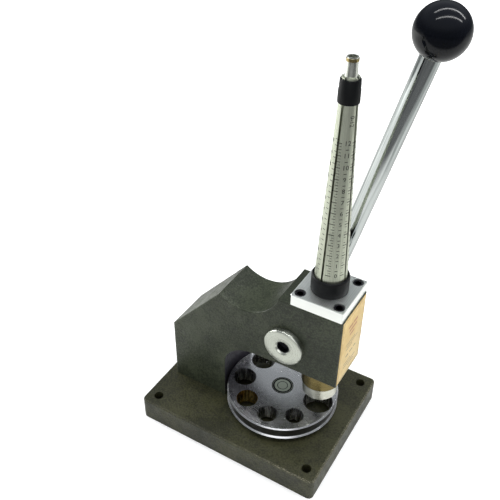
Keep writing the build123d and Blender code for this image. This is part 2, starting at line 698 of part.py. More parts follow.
def ram_screw():
    seat = ram_screw_seat()
    length = RAM_Z1 - STEM_SEAT - seat + RAM_SCREW_GRIP
    screw = socket_screw(
        RAM_SCREW_D, length, RAM_SCREW_HEAD_D, RAM_SCREW_HEAD_T, RAM_SCREW_SOCKET
    )
    return Pos(AXIS_X, 0, seat) * Rot(180, 0, 0) * screw


def wedge(flat, z0, flat_gap=0.0, round_gap=0.0):
    """Round taper with four flats that face the jaws, on the Z axis."""
    grow = WEDGE_SLOPE * WEDGE_L
    r0 = flat + WEDGE_ROUND + round_gap
    taper = cone(r0, r0 + grow, z0, z0 + WEDGE_L)
    turn = Rot(0, 0, 45 + JAW_TURN_DEG)
    low = Pos(0, 0, z0) * turn * Rectangle(2 * (flat + flat_gap), 2 * (flat + flat_gap))
    top = flat + flat_gap + grow
    high = Pos(0, 0, z0 + WEDGE_L) * turn * Rectangle(2 * top, 2 * top)
    return taper & loft([low.face(), high.face()])


def draw_spindle():
    waist = SPINDLE_WAIST_D / 2
    lower_end = LOWER_WEDGE_Z + WEDGE_L
    upper_end = UPPER_WEDGE_Z + WEDGE_L
    top = JAW_Z1 + SPINDLE_TIP
    shape = drum(SPINDLE_D / 2, BAR_Z1 - SPINDLE_SEAT, LOWER_WEDGE_Z)
    shape += wedge(WEDGE_FLAT, LOWER_WEDGE_Z)
    shape += drum(waist, lower_end, UPPER_WEDGE_Z)
    shape += wedge(TIP_FLAT, UPPER_WEDGE_Z)
    ring_z = top - TIP_RING_DROP - TIP_RING_T
    shape += cone(SPINDLE_TIP_BASE_D / 2, SPINDLE_TIP_D / 2, upper_end, ring_z)
    shape += drum(SPINDLE_TIP_D / 2, ring_z, top)
    shape -= drum(SPINDLE_TIP_BORE / 2, top - SPINDLE_TIP_BORE_DEPTH, top + 1)
    return Pos(AXIS_X, 0, 0) * shape


def tip_ring():
    z1 = JAW_Z1 + SPINDLE_TIP - TIP_RING_DROP
    ring = drum(TIP_RING_D / 2, z1 - TIP_RING_T, z1, AXIS_X)
    return ring - drum(SPINDLE_TIP_D / 2, z1 - TIP_RING_T - 1, z1 + 1, AXIS_X)


def spindle_lock_nut():
    nut = hexagon(LOCK_NUT_ACROSS, BAR_Z1, BAR_Z1 + LOCK_NUT_T, AXIS_X)
    return nut - drum(SPINDLE_D / 2, BAR_Z1 - 1, BAR_Z1 + LOCK_NUT_T + 1, AXIS_X)


def jaw_cavity():
    """Room for the spindle between the four jaws, on the Z axis."""
    foot_z = HEAD_Z1 + JAW_GAP
    lower_end = LOWER_WEDGE_Z + WEDGE_L
    tool = drum(WEDGE_FLAT + WEDGE_ROUND + SPREAD + WEDGE_GAP, foot_z - 1, LOWER_WEDGE_Z)
    tool += wedge(WEDGE_FLAT, LOWER_WEDGE_Z, SEAT_GAP, WEDGE_GAP)
    tool += drum(TIP_FLAT + WEDGE_ROUND + WEDGE_GAP, lower_end, UPPER_WEDGE_Z)
    return tool + wedge(TIP_FLAT, UPPER_WEDGE_Z, SEAT_GAP, WEDGE_GAP)


def jaw_blank():
    """Whole mandrel on the Z axis, before it is cut into jaws."""
    foot_z = HEAD_Z1 + JAW_GAP
    start = PLATE_Z1 + 2 * JAW_GAP
    blank = drum(FOOT_R, foot_z, foot_z + FOOT_T)
    blank += drum(NECK_R, foot_z + FOOT_T, start)
    blank += cone(mandrel_radius(start), mandrel_radius(JAW_Z1), start, JAW_Z1)
    return blank - jaw_cavity()


def jaws():
    """Four quarter jaws, counter-clockwise from the one nearest +X and +Y."""
    blank = jaw_blank()
    reach = FOOT_R + 1
    quarter = block(SLOT / 2, reach, SLOT / 2, reach, HEAD_Z1, JAW_Z1 + 1)
    turns = [Rot(0, 0, JAW_TURN_DEG + 90 * i) for i in range(4)]
    return [Pos(AXIS_X, 0, 0) * (blank & (turn * quarter)) for turn in turns]


def main():
    os.makedirs("parts", exist_ok=True)
    nodes = {
        "base_plate": base_plate(),
        "press_frame": press_frame(),
        "frame_bolts": frame_bolts(),
        "dowel_pins": dowel_pins(),
        "near_shaft_bush": near_shaft_bush(),
        "far_shaft_bush": far_shaft_bush(),
        "nose_bush": nose_bush(),
        "return_spring": return_spring(),
        "label_plate": label_plate(),
        "top_plate": top_plate(),
        "plate_screws": plate_screws(),
        "mandrel_collar": mandrel_collar(),
        "rubber_sleeve": rubber_sleeve(),
        "die_spacer": die_spacer(),
        "die_pivot": die_pivot(),
        "die_pivot_washer": die_pivot_washer(),
        "die_pivot_nut": die_pivot_nut(),
        "die_plate": die_plate(),
        "pivot_shaft": pivot_shaft(),
        "pinion": pinion(),
        "pinion_key": key_block(),
        "shaft_cap": shaft_cap(),
        "lever_hub": lever_hub(),
        "hub_set_screw": hub_set_screw(),
        "lever_rod": lever_rod(),
        "knob_insert": knob_insert(),
        "ball_knob": ball_knob(),
        "rack_bar": rack_bar(),
        "ram_button": ram_button(),
        "ram_screw": ram_screw(),
        "draw_spindle": draw_spindle(),
        "spindle_lock_nut": spindle_lock_nut(),
        "tip_ring": tip_ring(),
    }
    for i, jaw in enumerate(jaws(), start=1):
        nodes[f"jaw_{i}"] = jaw
    for name, shape in nodes.items():
        solids = shape if isinstance(shape, list) else [shape]
        shape = Compound(children=[s for item in solids for s in item.solids()])
        export_step(shape, f"parts/{name}.step")


main()
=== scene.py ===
# %% [markdown]
# # A jeweller's ring press, dressed for the camera
# The press stretches finger rings on a tapered steel mandrel and shrinks them in a turning die plate.
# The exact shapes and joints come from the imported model, which this script never moves or reshapes.
# What is made here is what the eye wants on top of it: rubber rings, engraved scales, turned parts with
# soft edges, and a finish for every surface. The scene is in metres, and MM turns millimetres into them.

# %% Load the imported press
import bmesh
import bpy
import json
import math
from mathutils import Matrix, Vector


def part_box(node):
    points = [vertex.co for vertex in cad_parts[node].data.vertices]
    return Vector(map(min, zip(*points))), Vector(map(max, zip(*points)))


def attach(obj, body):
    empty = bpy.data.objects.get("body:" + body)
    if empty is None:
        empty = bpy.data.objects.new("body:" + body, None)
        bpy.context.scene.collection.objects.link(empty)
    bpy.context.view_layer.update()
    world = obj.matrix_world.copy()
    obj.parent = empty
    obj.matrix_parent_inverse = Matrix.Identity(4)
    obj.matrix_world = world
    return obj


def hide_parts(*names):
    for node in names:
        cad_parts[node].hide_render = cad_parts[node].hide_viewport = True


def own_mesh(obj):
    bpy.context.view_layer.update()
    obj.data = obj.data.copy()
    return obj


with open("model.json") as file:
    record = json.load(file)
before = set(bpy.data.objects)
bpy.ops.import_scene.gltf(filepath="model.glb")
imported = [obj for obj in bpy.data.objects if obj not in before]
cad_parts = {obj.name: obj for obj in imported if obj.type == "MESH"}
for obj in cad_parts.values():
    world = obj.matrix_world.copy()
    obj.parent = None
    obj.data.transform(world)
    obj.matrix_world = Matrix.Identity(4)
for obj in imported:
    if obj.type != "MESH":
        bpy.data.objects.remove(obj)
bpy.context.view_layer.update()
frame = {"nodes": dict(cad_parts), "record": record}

MM = 0.001

# %% [markdown]
# ## Camera
# The press is seen from its near front corner, a little over head height for something on a bench.
# A camera can be aimed with a Track To constraint, or its matrix can be built from three directions.
# The second way is used, because it also takes the small tilt of the horizon.

# %% Aim the camera
YAW, PITCH, ROLL = (math.radians(a) for a in (30.4845, 36.5600, 0.6653))
EYE_PLACE = Vector((225.297, -407.034, 540.651)) * MM
LENS, SENSOR_WIDTH = 49.213, 36.0
CLIP_NEAR, CLIP_FAR = 0.01, 20.0

back = Vector((math.sin(YAW) * math.cos(PITCH), -math.cos(YAW) * math.cos(PITCH), math.sin(PITCH)))
level = (-back).cross(Vector((0, 0, 1))).normalized()
upward = level.cross(-back)
right = level * math.cos(ROLL) + upward * math.sin(ROLL)
top = upward * math.cos(ROLL) - level * math.sin(ROLL)
turn = Matrix((right, top, back)).transposed().to_4x4()

eye_data = bpy.data.cameras.new("bench_camera")
eye_data.sensor_width = SENSOR_WIDTH
eye_data.lens = LENS
eye_data.clip_start, eye_data.clip_end = CLIP_NEAR, CLIP_FAR
eye = bpy.data.objects.new("bench_camera", eye_data)
eye.matrix_world = Matrix.Translation(EYE_PLACE) @ turn
bpy.context.scene.collection.objects.link(eye)
bpy.context.scene.camera = eye
print("camera height above the bench in mm:", round(eye.location.z / MM))

# %% [markdown]
# ## Node trees in a few words
# Materials, the effects they share and the room are all node trees. These helpers say each common step
# in one line. A value given to them is a plain number, an (r, g, b) colour or the output of another node.
# A Mix node has several sockets of the same name, one per kind of value, so those are picked by number.

# %% Helpers for node trees
def feed(tree, value, socket):
    """Sets an input to a number or a colour, or links an output into it."""
    if isinstance(value, tuple):
        socket.default_value = (*value, 1.0)
    elif isinstance(value, (int, float)):
        socket.default_value = value
    else:
        tree.links.new(value, socket)


def maths(tree, operation, *values):
    """A Math node on one, two or three values."""
    node = tree.nodes.new("ShaderNodeMath")
    node.operation = operation
    for value, socket in zip(values, node.inputs):
        feed(tree, value, socket)
    return node.outputs[0]


def vector_maths(tree, operation, first, second=None):
    """A Vector Math node that gives one number."""
    node = tree.nodes.new("ShaderNodeVectorMath")
    node.operation = operation
    tree.links.new(first, node.inputs[0])
    if second:
        node.inputs[1].default_value = second
    return node.outputs["Value"]


def ramp(tree, value, low, high, out_low=0.0, out_high=1.0, shape="SMOOTHSTEP"):
    """A step between two values that is held level past its ends."""
    node = tree.nodes.new("ShaderNodeMapRange")
    node.interpolation_type = shape
    for label, given in (("Value", value), ("From Min", low), ("From Max", high),
                         ("To Min", out_low), ("To Max", out_high)):
        feed(tree, given, node.inputs[label])
    return node.outputs["Result"]


MIX_SOCKETS = {"FLOAT": (0, 2, 3), "RGBA": (0, 6, 7)}
MIX_RESULT = {"FLOAT": 0, "RGBA": 2}


def blend(kind, tree, *values):
    """A Mix node on a factor and the two values that it goes between."""
    node = tree.nodes.new("ShaderNodeMix")
    node.data_type = kind
    for number, value in zip(MIX_SOCKETS[kind], values):
        feed(tree, value, node.inputs[number])
    return node.outputs[MIX_RESULT[kind]]


def blend_colours(tree, factor, first, second):
    return blend("RGBA", tree, factor, first, second)


def blend_numbers(tree, factor, first, second):
    return blend("FLOAT", tree, factor, first, second)


def noise(tree, place, scale, detail, roughness, dimensions="3D"):
    """Cloudy noise as a value. With no place given, it follows the piece's own box."""
    node = tree.nodes.new("ShaderNodeTexNoise")
    node.noise_dimensions = dimensions
    for label, value in (("Scale", scale), ("Detail", detail), ("Roughness", roughness)):
        feed(tree, value, node.inputs[label])
    if place is not None:
        tree.links.new(place, node.inputs["W" if dimensions == "1D" else "Vector"])
    return node.outputs["Fac"]


def object_place(tree):
    """Where a point lies on its piece, in metres, as one vector."""
    return tree.nodes.new("ShaderNodeTexCoord").outputs["Object"]


def seen_directly(tree):
    """1 for what the camera sees itself and 0 for light and mirror images."""
    return tree.nodes.new("ShaderNodeLightPath").outputs["Is Camera Ray"]


def plain_material(name, colour, roughness):
    """A material whose shader takes only plain values. It gives back the material, its nodes and the shader."""
    made = bpy.data.materials.new(name)
    made.use_nodes = True
    tree = made.node_tree
    shader = tree.nodes["Principled BSDF"]
    shader.inputs["Base Color"].default_value = (*colour, 1.0)
    shader.inputs["Roughness"].default_value = roughness
    return made, tree, shader


# %% [markdown]
# ## Bench and light
# The press stands on a pale sheet that glows a little where the camera sees it, more so far away, so it
# runs into a plain pale room. Polished steel needs something dark to mirror: past the sheet's near end
# the bench is dark for reflections, and so is the low part of the room. Two long lamps overhead draw the
# thin highlights on the ball. A soft lamp in front and one on the left light the near faces.

# %% Pale bench
BENCH_SEEN, BENCH_LIT, BENCH_DARK = (0.95, 0.95, 0.95), (0.86, 0.86, 0.83), (0.13, 0.13, 0.13)
GLOW_REACH, GLOW = (0.30, 1.40), (0.22, 1.0)
SHEET_END = (0.29, 0.40)
BENCH_HALF, BENCH_DROP = 6.0, 0.2 * MM

bench_paint, bench_tree, bench_shader = plain_material("bench_white", BENCH_SEEN, 0.9)
bench_shader.inputs["Specular IOR Level"].default_value = 0.1
bench_shader.inputs["Emission Color"].default_value = (1.0, 1.0, 1.0, 1.0)
seen = seen_directly(bench_tree)
reach = vector_maths(bench_tree, "LENGTH", object_place(bench_tree))
glow = maths(bench_tree, "MULTIPLY", seen, ramp(bench_tree, reach, *GLOW_REACH, *GLOW, "LINEAR"))
bench_tree.links.new(glow, bench_shader.inputs["Emission Strength"])
forward = vector_maths(bench_tree, "DOT_PRODUCT", object_place(bench_tree), (math.sin(YAW), -math.cos(YAW), 0.0))
past_sheet = ramp(bench_tree, forward, *SHEET_END, shape="LINEAR")
mirrored = blend_colours(bench_tree, past_sheet, BENCH_LIT, BENCH_DARK)
bench_tree.links.new(blend_colours(bench_tree, seen, mirrored, BENCH_SEEN), bench_shader.inputs["Base Color"])

bm = bmesh.new()
bmesh.ops.create_grid(bm, x_segments=1, y_segments=1, size=BENCH_HALF)
bench_mesh = bpy.data.meshes.new("bench")
bm.to_mesh(bench_mesh)
bm.free()
bench_mesh.materials.append(bench_paint)
bench = bpy.data.objects.new("bench", bench_mesh)
bpy.context.scene.collection.objects.link(bench)
bench.location.z = -BENCH_DROP
print("bench is", 2 * BENCH_HALF, "m wide")

# %% Lamps
PRESS_MIDDLE = Vector((0.0, 0.0, 0.15))


def lamp(name, place, size, size_y, power, along):
    """A rectangular lamp that faces the press, long side along a direction. Sizes in m and power in W."""
    data = bpy.data.lights.new(name, "AREA")
    data.shape = "RECTANGLE"
    data.size, data.size_y = size, size_y
    data.energy = power
    made = bpy.data.objects.new(name, data)
    away = (Vector(place) - PRESS_MIDDLE).normalized()
    across = away.cross(along).normalized()
    facing = Matrix((across.cross(away), across, away)).transposed().to_4x4()
    made.matrix_world = Matrix.Translation(Vector(place)) @ facing
    bpy.context.scene.collection.objects.link(made)


lamp("tube_near", (0.50, -0.20, 1.62), 2.6, 0.09, 14.0, level)
lamp("tube_far", (0.22, 0.52, 1.58), 2.6, 0.09, 14.0, level)
lamp("soft_front", (0.62, -1.55, 0.80), 1.6, 1.0, 9.0, level)
lamp("soft_left", (-1.60, -0.05, 0.62), 0.9, 0.7, 19.0, Vector((0.0, 1.0, 0.0)))

# %% Room
ROOM_COLOUR = (0.92, 0.97, 1.0)
WALL_RISE, WALL_LIGHT = (0.12, 0.62), (0.10, 0.42)
ROOM_SEEN = 1.2

room = bpy.data.worlds.new("room")
room.use_nodes = True
room_tree = room.node_tree
way = room_tree.nodes.new("ShaderNodeSeparateXYZ")
room_tree.links.new(room_tree.nodes.new("ShaderNodeTexCoord").outputs["Generated"], way.inputs[0])
wall = ramp(room_tree, way.outputs[2], *WALL_RISE, *WALL_LIGHT)
strength = blend_numbers(room_tree, seen_directly(room_tree), wall, ROOM_SEEN)
feed(room_tree, ROOM_COLOUR, room_tree.nodes["Background"].inputs["Color"])
feed(room_tree, strength, room_tree.nodes["Background"].inputs["Strength"])
bpy.context.scene.world = room
bpy.context.scene.view_settings.view_transform = "Standard"
print("room light from", WALL_LIGHT[0], "near the floor to", WALL_LIGHT[1], "overhead")

# %% [markdown]
# ## Shared effects
# Paint that is sprayed thick over rough iron, lines left by a lathe, and finger marks turn up on several
# parts. Each is a small node group with its own inputs, built once and used with different values.
# The groups only make colours and values; the shader itself stays in each material.

# %% Helper for a group
def effect_group(name, inputs, outputs):
    """An empty node group with named sockets. Inputs are (name, socket type, default)."""
    group = bpy.data.node_groups.new(name, "ShaderNodeTree")
    for label, kind, value in inputs:
        socket = group.interface.new_socket(name=label, in_out="INPUT", socket_type=kind)
        socket.default_value = value
    for label, kind in outputs:
        group.interface.new_socket(name=label, in_out="OUTPUT", socket_type=kind)
    return group, group.nodes.new("NodeGroupInput").outputs, group.nodes.new("NodeGroupOutput").inputs


# %% Thick paint on rough iron
def make_rough_paint():
    """Pebbled skin for castings, with painted shade in its hollows and tone that varies in patches."""
    group, given, made = effect_group(
        "rough_paint",
        [("Paint", "NodeSocketColor", (0.1, 0.1, 0.1, 1)), ("Hollows", "NodeSocketColor", (0.05, 0.05, 0.05, 1)),
         ("Pebbles", "NodeSocketFloat", 700.0)],
        [("Color", "NodeSocketColor"), ("Roughness", "NodeSocketFloat"), ("Height", "NodeSocketFloat")],
    )
    place = object_place(group)
    voronoi = group.nodes.new("ShaderNodeTexVoronoi")
    voronoi.feature = "SMOOTH_F1"
    voronoi.inputs["Smoothness"].default_value = 0.6
    group.links.new(place, voronoi.inputs["Vector"])
    group.links.new(given["Pebbles"], voronoi.inputs["Scale"])
    pebble = voronoi.outputs["Distance"]
    swell = noise(group, place, 160.0, 4.0, 0.6)
    patch = noise(group, place, 26.0, 3.0, 0.6)
    grit = noise(group, place, 1500.0, 2.0, 0.6)
    height = maths(group, "MULTIPLY_ADD", swell, 1.4, pebble)
    height = maths(group, "MULTIPLY_ADD", grit, 0.25, height)
    group.links.new(height, made["Height"])
    # Painted shade: the hollows between pebbles lean to the darker colour, and patches of noise vary the tone at
    # random.
    tone = maths(group, "MULTIPLY_ADD", pebble, -0.5, patch)
    colour = blend_colours(group, ramp(group, tone, 0.05, 0.5), given["Hollows"], given["Paint"])
    group.links.new(colour, made["Color"])
    group.links.new(ramp(group, swell, 0.3, 0.7, 0.36, 0.52), made["Roughness"])
    return group


rough_paint = make_rough_paint()
print("group ready:", rough_paint.name)

# %% Lines left by cutting and grinding
def make_tool_lines():
    """Fine lines that follow one distance: from an axis on turned faces, or along a bar on ground ones."""
    group, given, made = effect_group(
        "tool_lines",
        [("Distance", "NodeSocketFloat", 0.0), ("Lines", "NodeSocketFloat", 4000.0),
         ("Dull", "NodeSocketFloat", 0.4), ("Bright", "NodeSocketFloat", 0.2)],
        [("Height", "NodeSocketFloat"), ("Roughness", "NodeSocketFloat"), ("Shade", "NodeSocketFloat")],
    )
    line = noise(group, maths(group, "MULTIPLY", given["Distance"], given["Lines"]), 1.0, 3.0, 0.7, "1D")
    smear = noise(group, object_place(group), 90.0, 3.0, 0.55)
    group.links.new(line, made["Height"])
    group.links.new(line, made["Shade"])
    mixed = maths(group, "MULTIPLY_ADD", line, 0.6, maths(group, "MULTIPLY", smear, 0.4))
    group.links.new(ramp(group, mixed, 0.35, 0.65, given["Bright"], given["Dull"]), made["Roughness"])
    return group


tool_lines = make_tool_lines()
print("group ready:", tool_lines.name)

# %% Finger marks and dust
def make_handling():
    """Patches where hands have dulled a shiny surface."""
    group, given, made = effect_group(
        "handling",
        [("Size", "NodeSocketFloat", 60.0), ("Clean", "NodeSocketFloat", 0.1), ("Touched", "NodeSocketFloat", 0.3)],
        [("Roughness", "NodeSocketFloat"), ("Mask", "NodeSocketFloat")],
    )
    patch = noise(group, object_place(group), given["Size"], 4.0, 0.65)
    group.links.new(ramp(group, patch, 0.45, 0.7), made["Mask"])
    group.links.new(ramp(group, patch, 0.4, 0.75, given["Clean"], given["Touched"]), made["Roughness"])
    return group


handling = make_handling()
print("group ready:", handling.name)

# %% [markdown]
# ## Finishes
# A finish starts from what made the part: cast iron is painted, the die plate is ground and lapped,
# the mandrel is ground along its taper, small parts are turned. Each material puts the effect that
# belongs to it on one Principled shader, with its fixed numbers set straight on the sockets.

# %% Helpers for a finish
def use_group(tree, group, **values):
    """Puts a shared effect in a material, and gives back its outputs."""
    node = tree.nodes.new("ShaderNodeGroup")
    node.node_tree = group
    for label, value in values.items():
        feed(tree, value, node.inputs[label])
    return node.outputs


def bump(tree, shader, height, strength, depth):
    """Lets a height value dent the shading, by a depth in metres."""
    node = tree.nodes.new("ShaderNodeBump")
    node.inputs["Strength"].default_value = strength
    node.inputs["Distance"].default_value = depth
    tree.links.new(height, node.inputs["Height"])
    tree.links.new(node.outputs["Normal"], shader.inputs["Normal"])


def coordinates(tree):
    """The x, y and z of a point on the piece, as three sockets."""
    split = tree.nodes.new("ShaderNodeSeparateXYZ")
    tree.links.new(object_place(tree), split.inputs[0])
    return split.outputs[0], split.outputs[1], split.outputs[2]


def distance_from(tree, first, second, first_middle, second_middle):
    """How far a point is from an axis, from its two coordinates across that axis."""
    one = maths(tree, "SUBTRACT", first, first_middle)
    two = maths(tree, "SUBTRACT", second, second_middle)
    return maths(tree, "SQRT", maths(tree, "MULTIPLY_ADD", one, one, maths(tree, "MULTIPLY", two, two)))


def stretched_place(tree, scale, tilt=None):
    """The place on a piece, squeezed by a scale so that noise turns into streaks, along a tilt about Y."""
    node = tree.nodes.new("ShaderNodeMapping")
    if tilt is None:
        node.inputs["Scale"].default_value = scale
    else:
        node.vector_type = "TEXTURE"
        node.inputs["Rotation"].default_value = (0.0, tilt, 0.0)
        node.inputs["Scale"].default_value = tuple(1 / s for s in scale)
    tree.links.new(object_place(tree), node.inputs["Vector"])
    return node.outputs["Vector"]


def dress(material, *node_names):
    """Gives CAD nodes a finish, in their own material slots."""
    for name in node_names:
        node = frame["nodes"][name]
        if not node.material_slots:
            node.data.materials.append(material)
        for holder in node.material_slots:
            holder.material = material


# %% [markdown]
# ### Olive paint
# Base and frame are iron castings under thick dark olive paint. It is browner on the base, rubbed pale along one
# front edge of it, and the wall of the round pocket in the frame is coloured a dark violet-grey. A second slot on a
# mesh could carry that colour, but the pocket is one distance from the die axis, so a mask made from that distance
# finds it. A small pit in the frame's near face is a dark spot of painted shade, and there are pale scuffs where a
# hand steadies the saddle.

# %% Paint for the castings
base_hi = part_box("base_plate")[1]
frame_lo, frame_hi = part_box("press_frame")
die_lo, die_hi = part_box("die_plate")
die_axis = ((die_lo.x + die_hi.x) / 2, (die_lo.y + die_hi.y) / 2)
die_radius = (die_hi.x - die_lo.x) / 2
pocket_radius = die_radius + 2.5 * MM
PIT_X, PIT_Z, PIT_SQUASH = 58.0 * MM, 144.0 * MM, 0.6
SCUFF_X, SCUFF_Z = -19.0 * MM, 150.0 * MM
POCKET_TOP, BLUR = 96.6 * MM, 0.4 * MM
# The second colour on the next line is the dark violet-grey of the pocket wall.
RUBBED_PALE, POCKET_WALL_COLOUR = (0.30, 0.28, 0.20), (0.045, 0.042, 0.055)
# The first colour on the next line is painted shade for the pit in the near face.
PIT_SHADE_COLOUR, SCUFF_PALE = (0.014, 0.015, 0.011), (0.30, 0.32, 0.25)


def product(tree, *values):
    """Several masks multiplied with each other."""
    result = values[0]
    for value in values[1:]:
        result = maths(tree, "MULTIPLY", result, value)
    return result


def olive_paint(name, paint, shaded_hollows, marks=None):
    """Painted iron, with painted shade in the hollows of its pebbled skin. marks(tree, colour, x, y, z) adds marks
    that belong to one casting: wear, and painted shade on the frame.
    """
    made, tree, shader = plain_material(name, paint, 0.45)
    shader.inputs["Specular IOR Level"].default_value = 0.34
    skin = use_group(tree, rough_paint, Paint=paint, Hollows=shaded_hollows, Pebbles=620.0)
    colour = skin["Color"]
    if marks:
        colour = marks(tree, colour, *coordinates(tree))
    tree.links.new(colour, shader.inputs["Base Color"])
    tree.links.new(skin["Roughness"], shader.inputs["Roughness"])
    bump(tree, shader, skin["Height"], 0.7, 0.25 * MM)
    return made


def rubbed_edges(tree, colour, x, y, z):
    """Pale wear in patches along the base's top edges, most of it towards the front."""
    edge = maths(tree, "MAXIMUM", maths(tree, "ADD", maths(tree, "ABSOLUTE", x), -base_hi.x),
                 maths(tree, "ADD", maths(tree, "ABSOLUTE", y), -base_hi.y))
    near_edge = ramp(tree, edge, -2.4 * MM, -0.5 * MM)
    top_only = ramp(tree, z, base_hi.z - 2.2 * MM, base_hi.z - 0.6 * MM)
    breaks = ramp(tree, noise(tree, None, 130.0, 3.0, 0.7), 0.5, 0.62)
    towards_front = maths(tree, "MULTIPLY_ADD", ramp(tree, x, 10.0 * MM, 75.0 * MM), 0.75, 0.22)
    return blend_colours(tree, product(tree, near_edge, top_only, breaks, towards_front), colour, RUBBED_PALE)


def frame_marks(tree, colour, x, y, z):
    """The dark wall of the pocket round the die plate, the painted shade of a pit in the near face and the scuffs on
    the saddle.
    """
    reach = distance_from(tree, x, y, *die_axis)
    inside = ramp(tree, reach, pocket_radius + 0.1 * MM, pocket_radius + BLUR, 1.0, 0.0)
    below = ramp(tree, z, POCKET_TOP, POCKET_TOP + BLUR, 1.0, 0.0)
    within = ramp(tree, maths(tree, "ABSOLUTE", y), frame_hi.y - 0.5 * MM, frame_hi.y - 0.15 * MM, 1.0, 0.0)
    colour = blend_colours(tree, product(tree, inside, below, within), colour, POCKET_WALL_COLOUR)
    # The pit is only a dark spot of painted shade, with no hollow in the mesh.
    from_pit = distance_from(tree, maths(tree, "MULTIPLY", x, PIT_SQUASH), z, PIT_SQUASH * PIT_X, PIT_Z)
    in_pit = ramp(tree, from_pit, 0.5 * MM, 1.7 * MM, 1.0, 0.0)
    on_near_face = ramp(tree, y, frame_lo.y + 0.1 * MM, frame_lo.y + 0.6 * MM, 1.0, 0.0)
    colour = blend_colours(tree, product(tree, in_pit, on_near_face), colour, PIT_SHADE_COLOUR)
    from_hand = distance_from(tree, x, z, SCUFF_X, SCUFF_Z)
    under_hand = ramp(tree, from_hand, 5.0 * MM, 15.0 * MM, 1.0, 0.0)
    near_side = ramp(tree, y, frame_lo.y + 2.0 * MM, frame_lo.y + 7.0 * MM, 1.0, 0.0)
    rubs = ramp(tree, noise(tree, None, 620.0, 3.0, 0.7), 0.56, 0.66)
    return blend_colours(tree, product(tree, under_hand, near_side, rubs, 0.7), colour, SCUFF_PALE)


dress(olive_paint("olive_base", (0.046, 0.046, 0.021), (0.015, 0.016, 0.007), rubbed_edges), "base_plate")
dress(olive_paint("olive_frame", (0.050, 0.059, 0.036), (0.018, 0.023, 0.013), frame_marks), "press_frame")
dress(olive_paint("olive_hub", (0.048, 0.055, 0.034), (0.018, 0.022, 0.013)), "lever_hub")
print("paints:", [m.name for m in bpy.data.materials if m.name.startswith("olive")])

# %% [markdown]
# ### Bare metals
# Steel, aluminium and bronze all mirror the room, so what tells them apart is colour and the direction
# of the tool lines. Rings about an axis come from the distance to it, straight lines from one coordinate.

# %% What tool lines can follow
shaft_lo, shaft_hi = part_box("pivot_shaft")
shaft_x, shaft_z = (shaft_lo.x + shaft_hi.x) / 2, (shaft_lo.z + shaft_hi.z) / 2
ram_lo, ram_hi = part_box("ram_button")
ram_x = (ram_lo.x + ram_hi.x) / 2


def up_the_piece(tree, x, y, z):
    return z


def along_x(tree, x, y, z):
    return x


def round_die(tree, x, y, z):
    return distance_from(tree, x, y, *die_axis)


def round_shaft(tree, x, y, z):
    return distance_from(tree, x, z, shaft_x, shaft_z)


def along_mandrel(tree, x, y, z):
    """Grinding lines that run up the mandrel, so they follow the angle round it."""
    return maths(tree, "ARCTAN2", y, maths(tree, "SUBTRACT", x, ram_x))


print("shaft axis in mm at x", round(shaft_x / MM, 1), "and z", round(shaft_z / MM, 1))

# %% Metals
LINE_DEPTH = 0.02 * MM


def wall_mask(tree):
    """1 where a face stands upright and 0 where it lies flat."""
    facing = tree.nodes.new("ShaderNodeSeparateXYZ")
    tree.links.new(tree.nodes.new("ShaderNodeNewGeometry").outputs["Normal"], facing.inputs[0])
    return ramp(tree, maths(tree, "ABSOLUTE", facing.outputs[2]), 0.35, 0.6, 1.0, 0.0)


def metal_finish(name, colour, dark, dull, bright, lines, follow=up_the_piece, strength=0.12, lit_walls=None):
    """Bare metal with tool lines. follow() gives the value that they follow, and a last colour, when given, paints
    the upright faces paler as painted light.
    """
    made, tree, shader = plain_material(name, colour, dull)
    shader.inputs["Metallic"].default_value = 1.0
    value = follow(tree, *coordinates(tree))
    marks = use_group(tree, tool_lines, Distance=value, Lines=lines, Dull=dull, Bright=bright)
    shade = blend_colours(tree, ramp(tree, marks["Shade"], 0.3, 0.7), dark, colour)
    if lit_walls:
        shade = blend_colours(tree, wall_mask(tree), shade, lit_walls)
    tree.links.new(shade, shader.inputs["Base Color"])
    tree.links.new(marks["Roughness"], shader.inputs["Roughness"])
    bump(tree, shader, marks["Height"], strength, LINE_DEPTH)
    return made


black_steel = metal_finish("steel_blacked", (0.045, 0.045, 0.05), (0.025, 0.025, 0.03), 0.50, 0.36, 1200.0)
inner_steel = metal_finish("steel_plain", (0.50, 0.50, 0.50), (0.38, 0.38, 0.38), 0.38, 0.25, 1800.0)
pin_steel = metal_finish("steel_pin", (0.50, 0.54, 0.46), (0.40, 0.44, 0.36), 0.42, 0.30, 2600.0, round_die)
cap_metal = metal_finish("plated_cap", (0.58, 0.60, 0.54), (0.46, 0.48, 0.43), 0.38, 0.24, 1700.0, round_shaft, 0.16)
ram_steel = metal_finish("steel_ram", (0.76, 0.76, 0.68), (0.66, 0.66, 0.58), 0.34, 0.26, 2200.0, strength=0.05)
tip_steel = metal_finish("steel_tip", (0.82, 0.84, 0.78), (0.62, 0.64, 0.58), 0.34, 0.22, 18.0, along_mandrel)
jaw_steel = metal_finish("steel_ground", (0.70, 0.73, 0.61), (0.42, 0.45, 0.36), 0.50, 0.34, 26.0, along_mandrel)
shaft_steel = metal_finish("steel_turned", (0.56, 0.57, 0.58), (0.44, 0.45, 0.46), 0.36, 0.22, 2400.0, round_shaft)
bronze = metal_finish("bronze_turned", (0.28, 0.22, 0.09), (0.15, 0.12, 0.05), 0.36, 0.22, 2200.0)
brass = metal_finish("brass_turned", (0.46, 0.37, 0.17), (0.32, 0.25, 0.11), 0.34, 0.2, 2600.0)
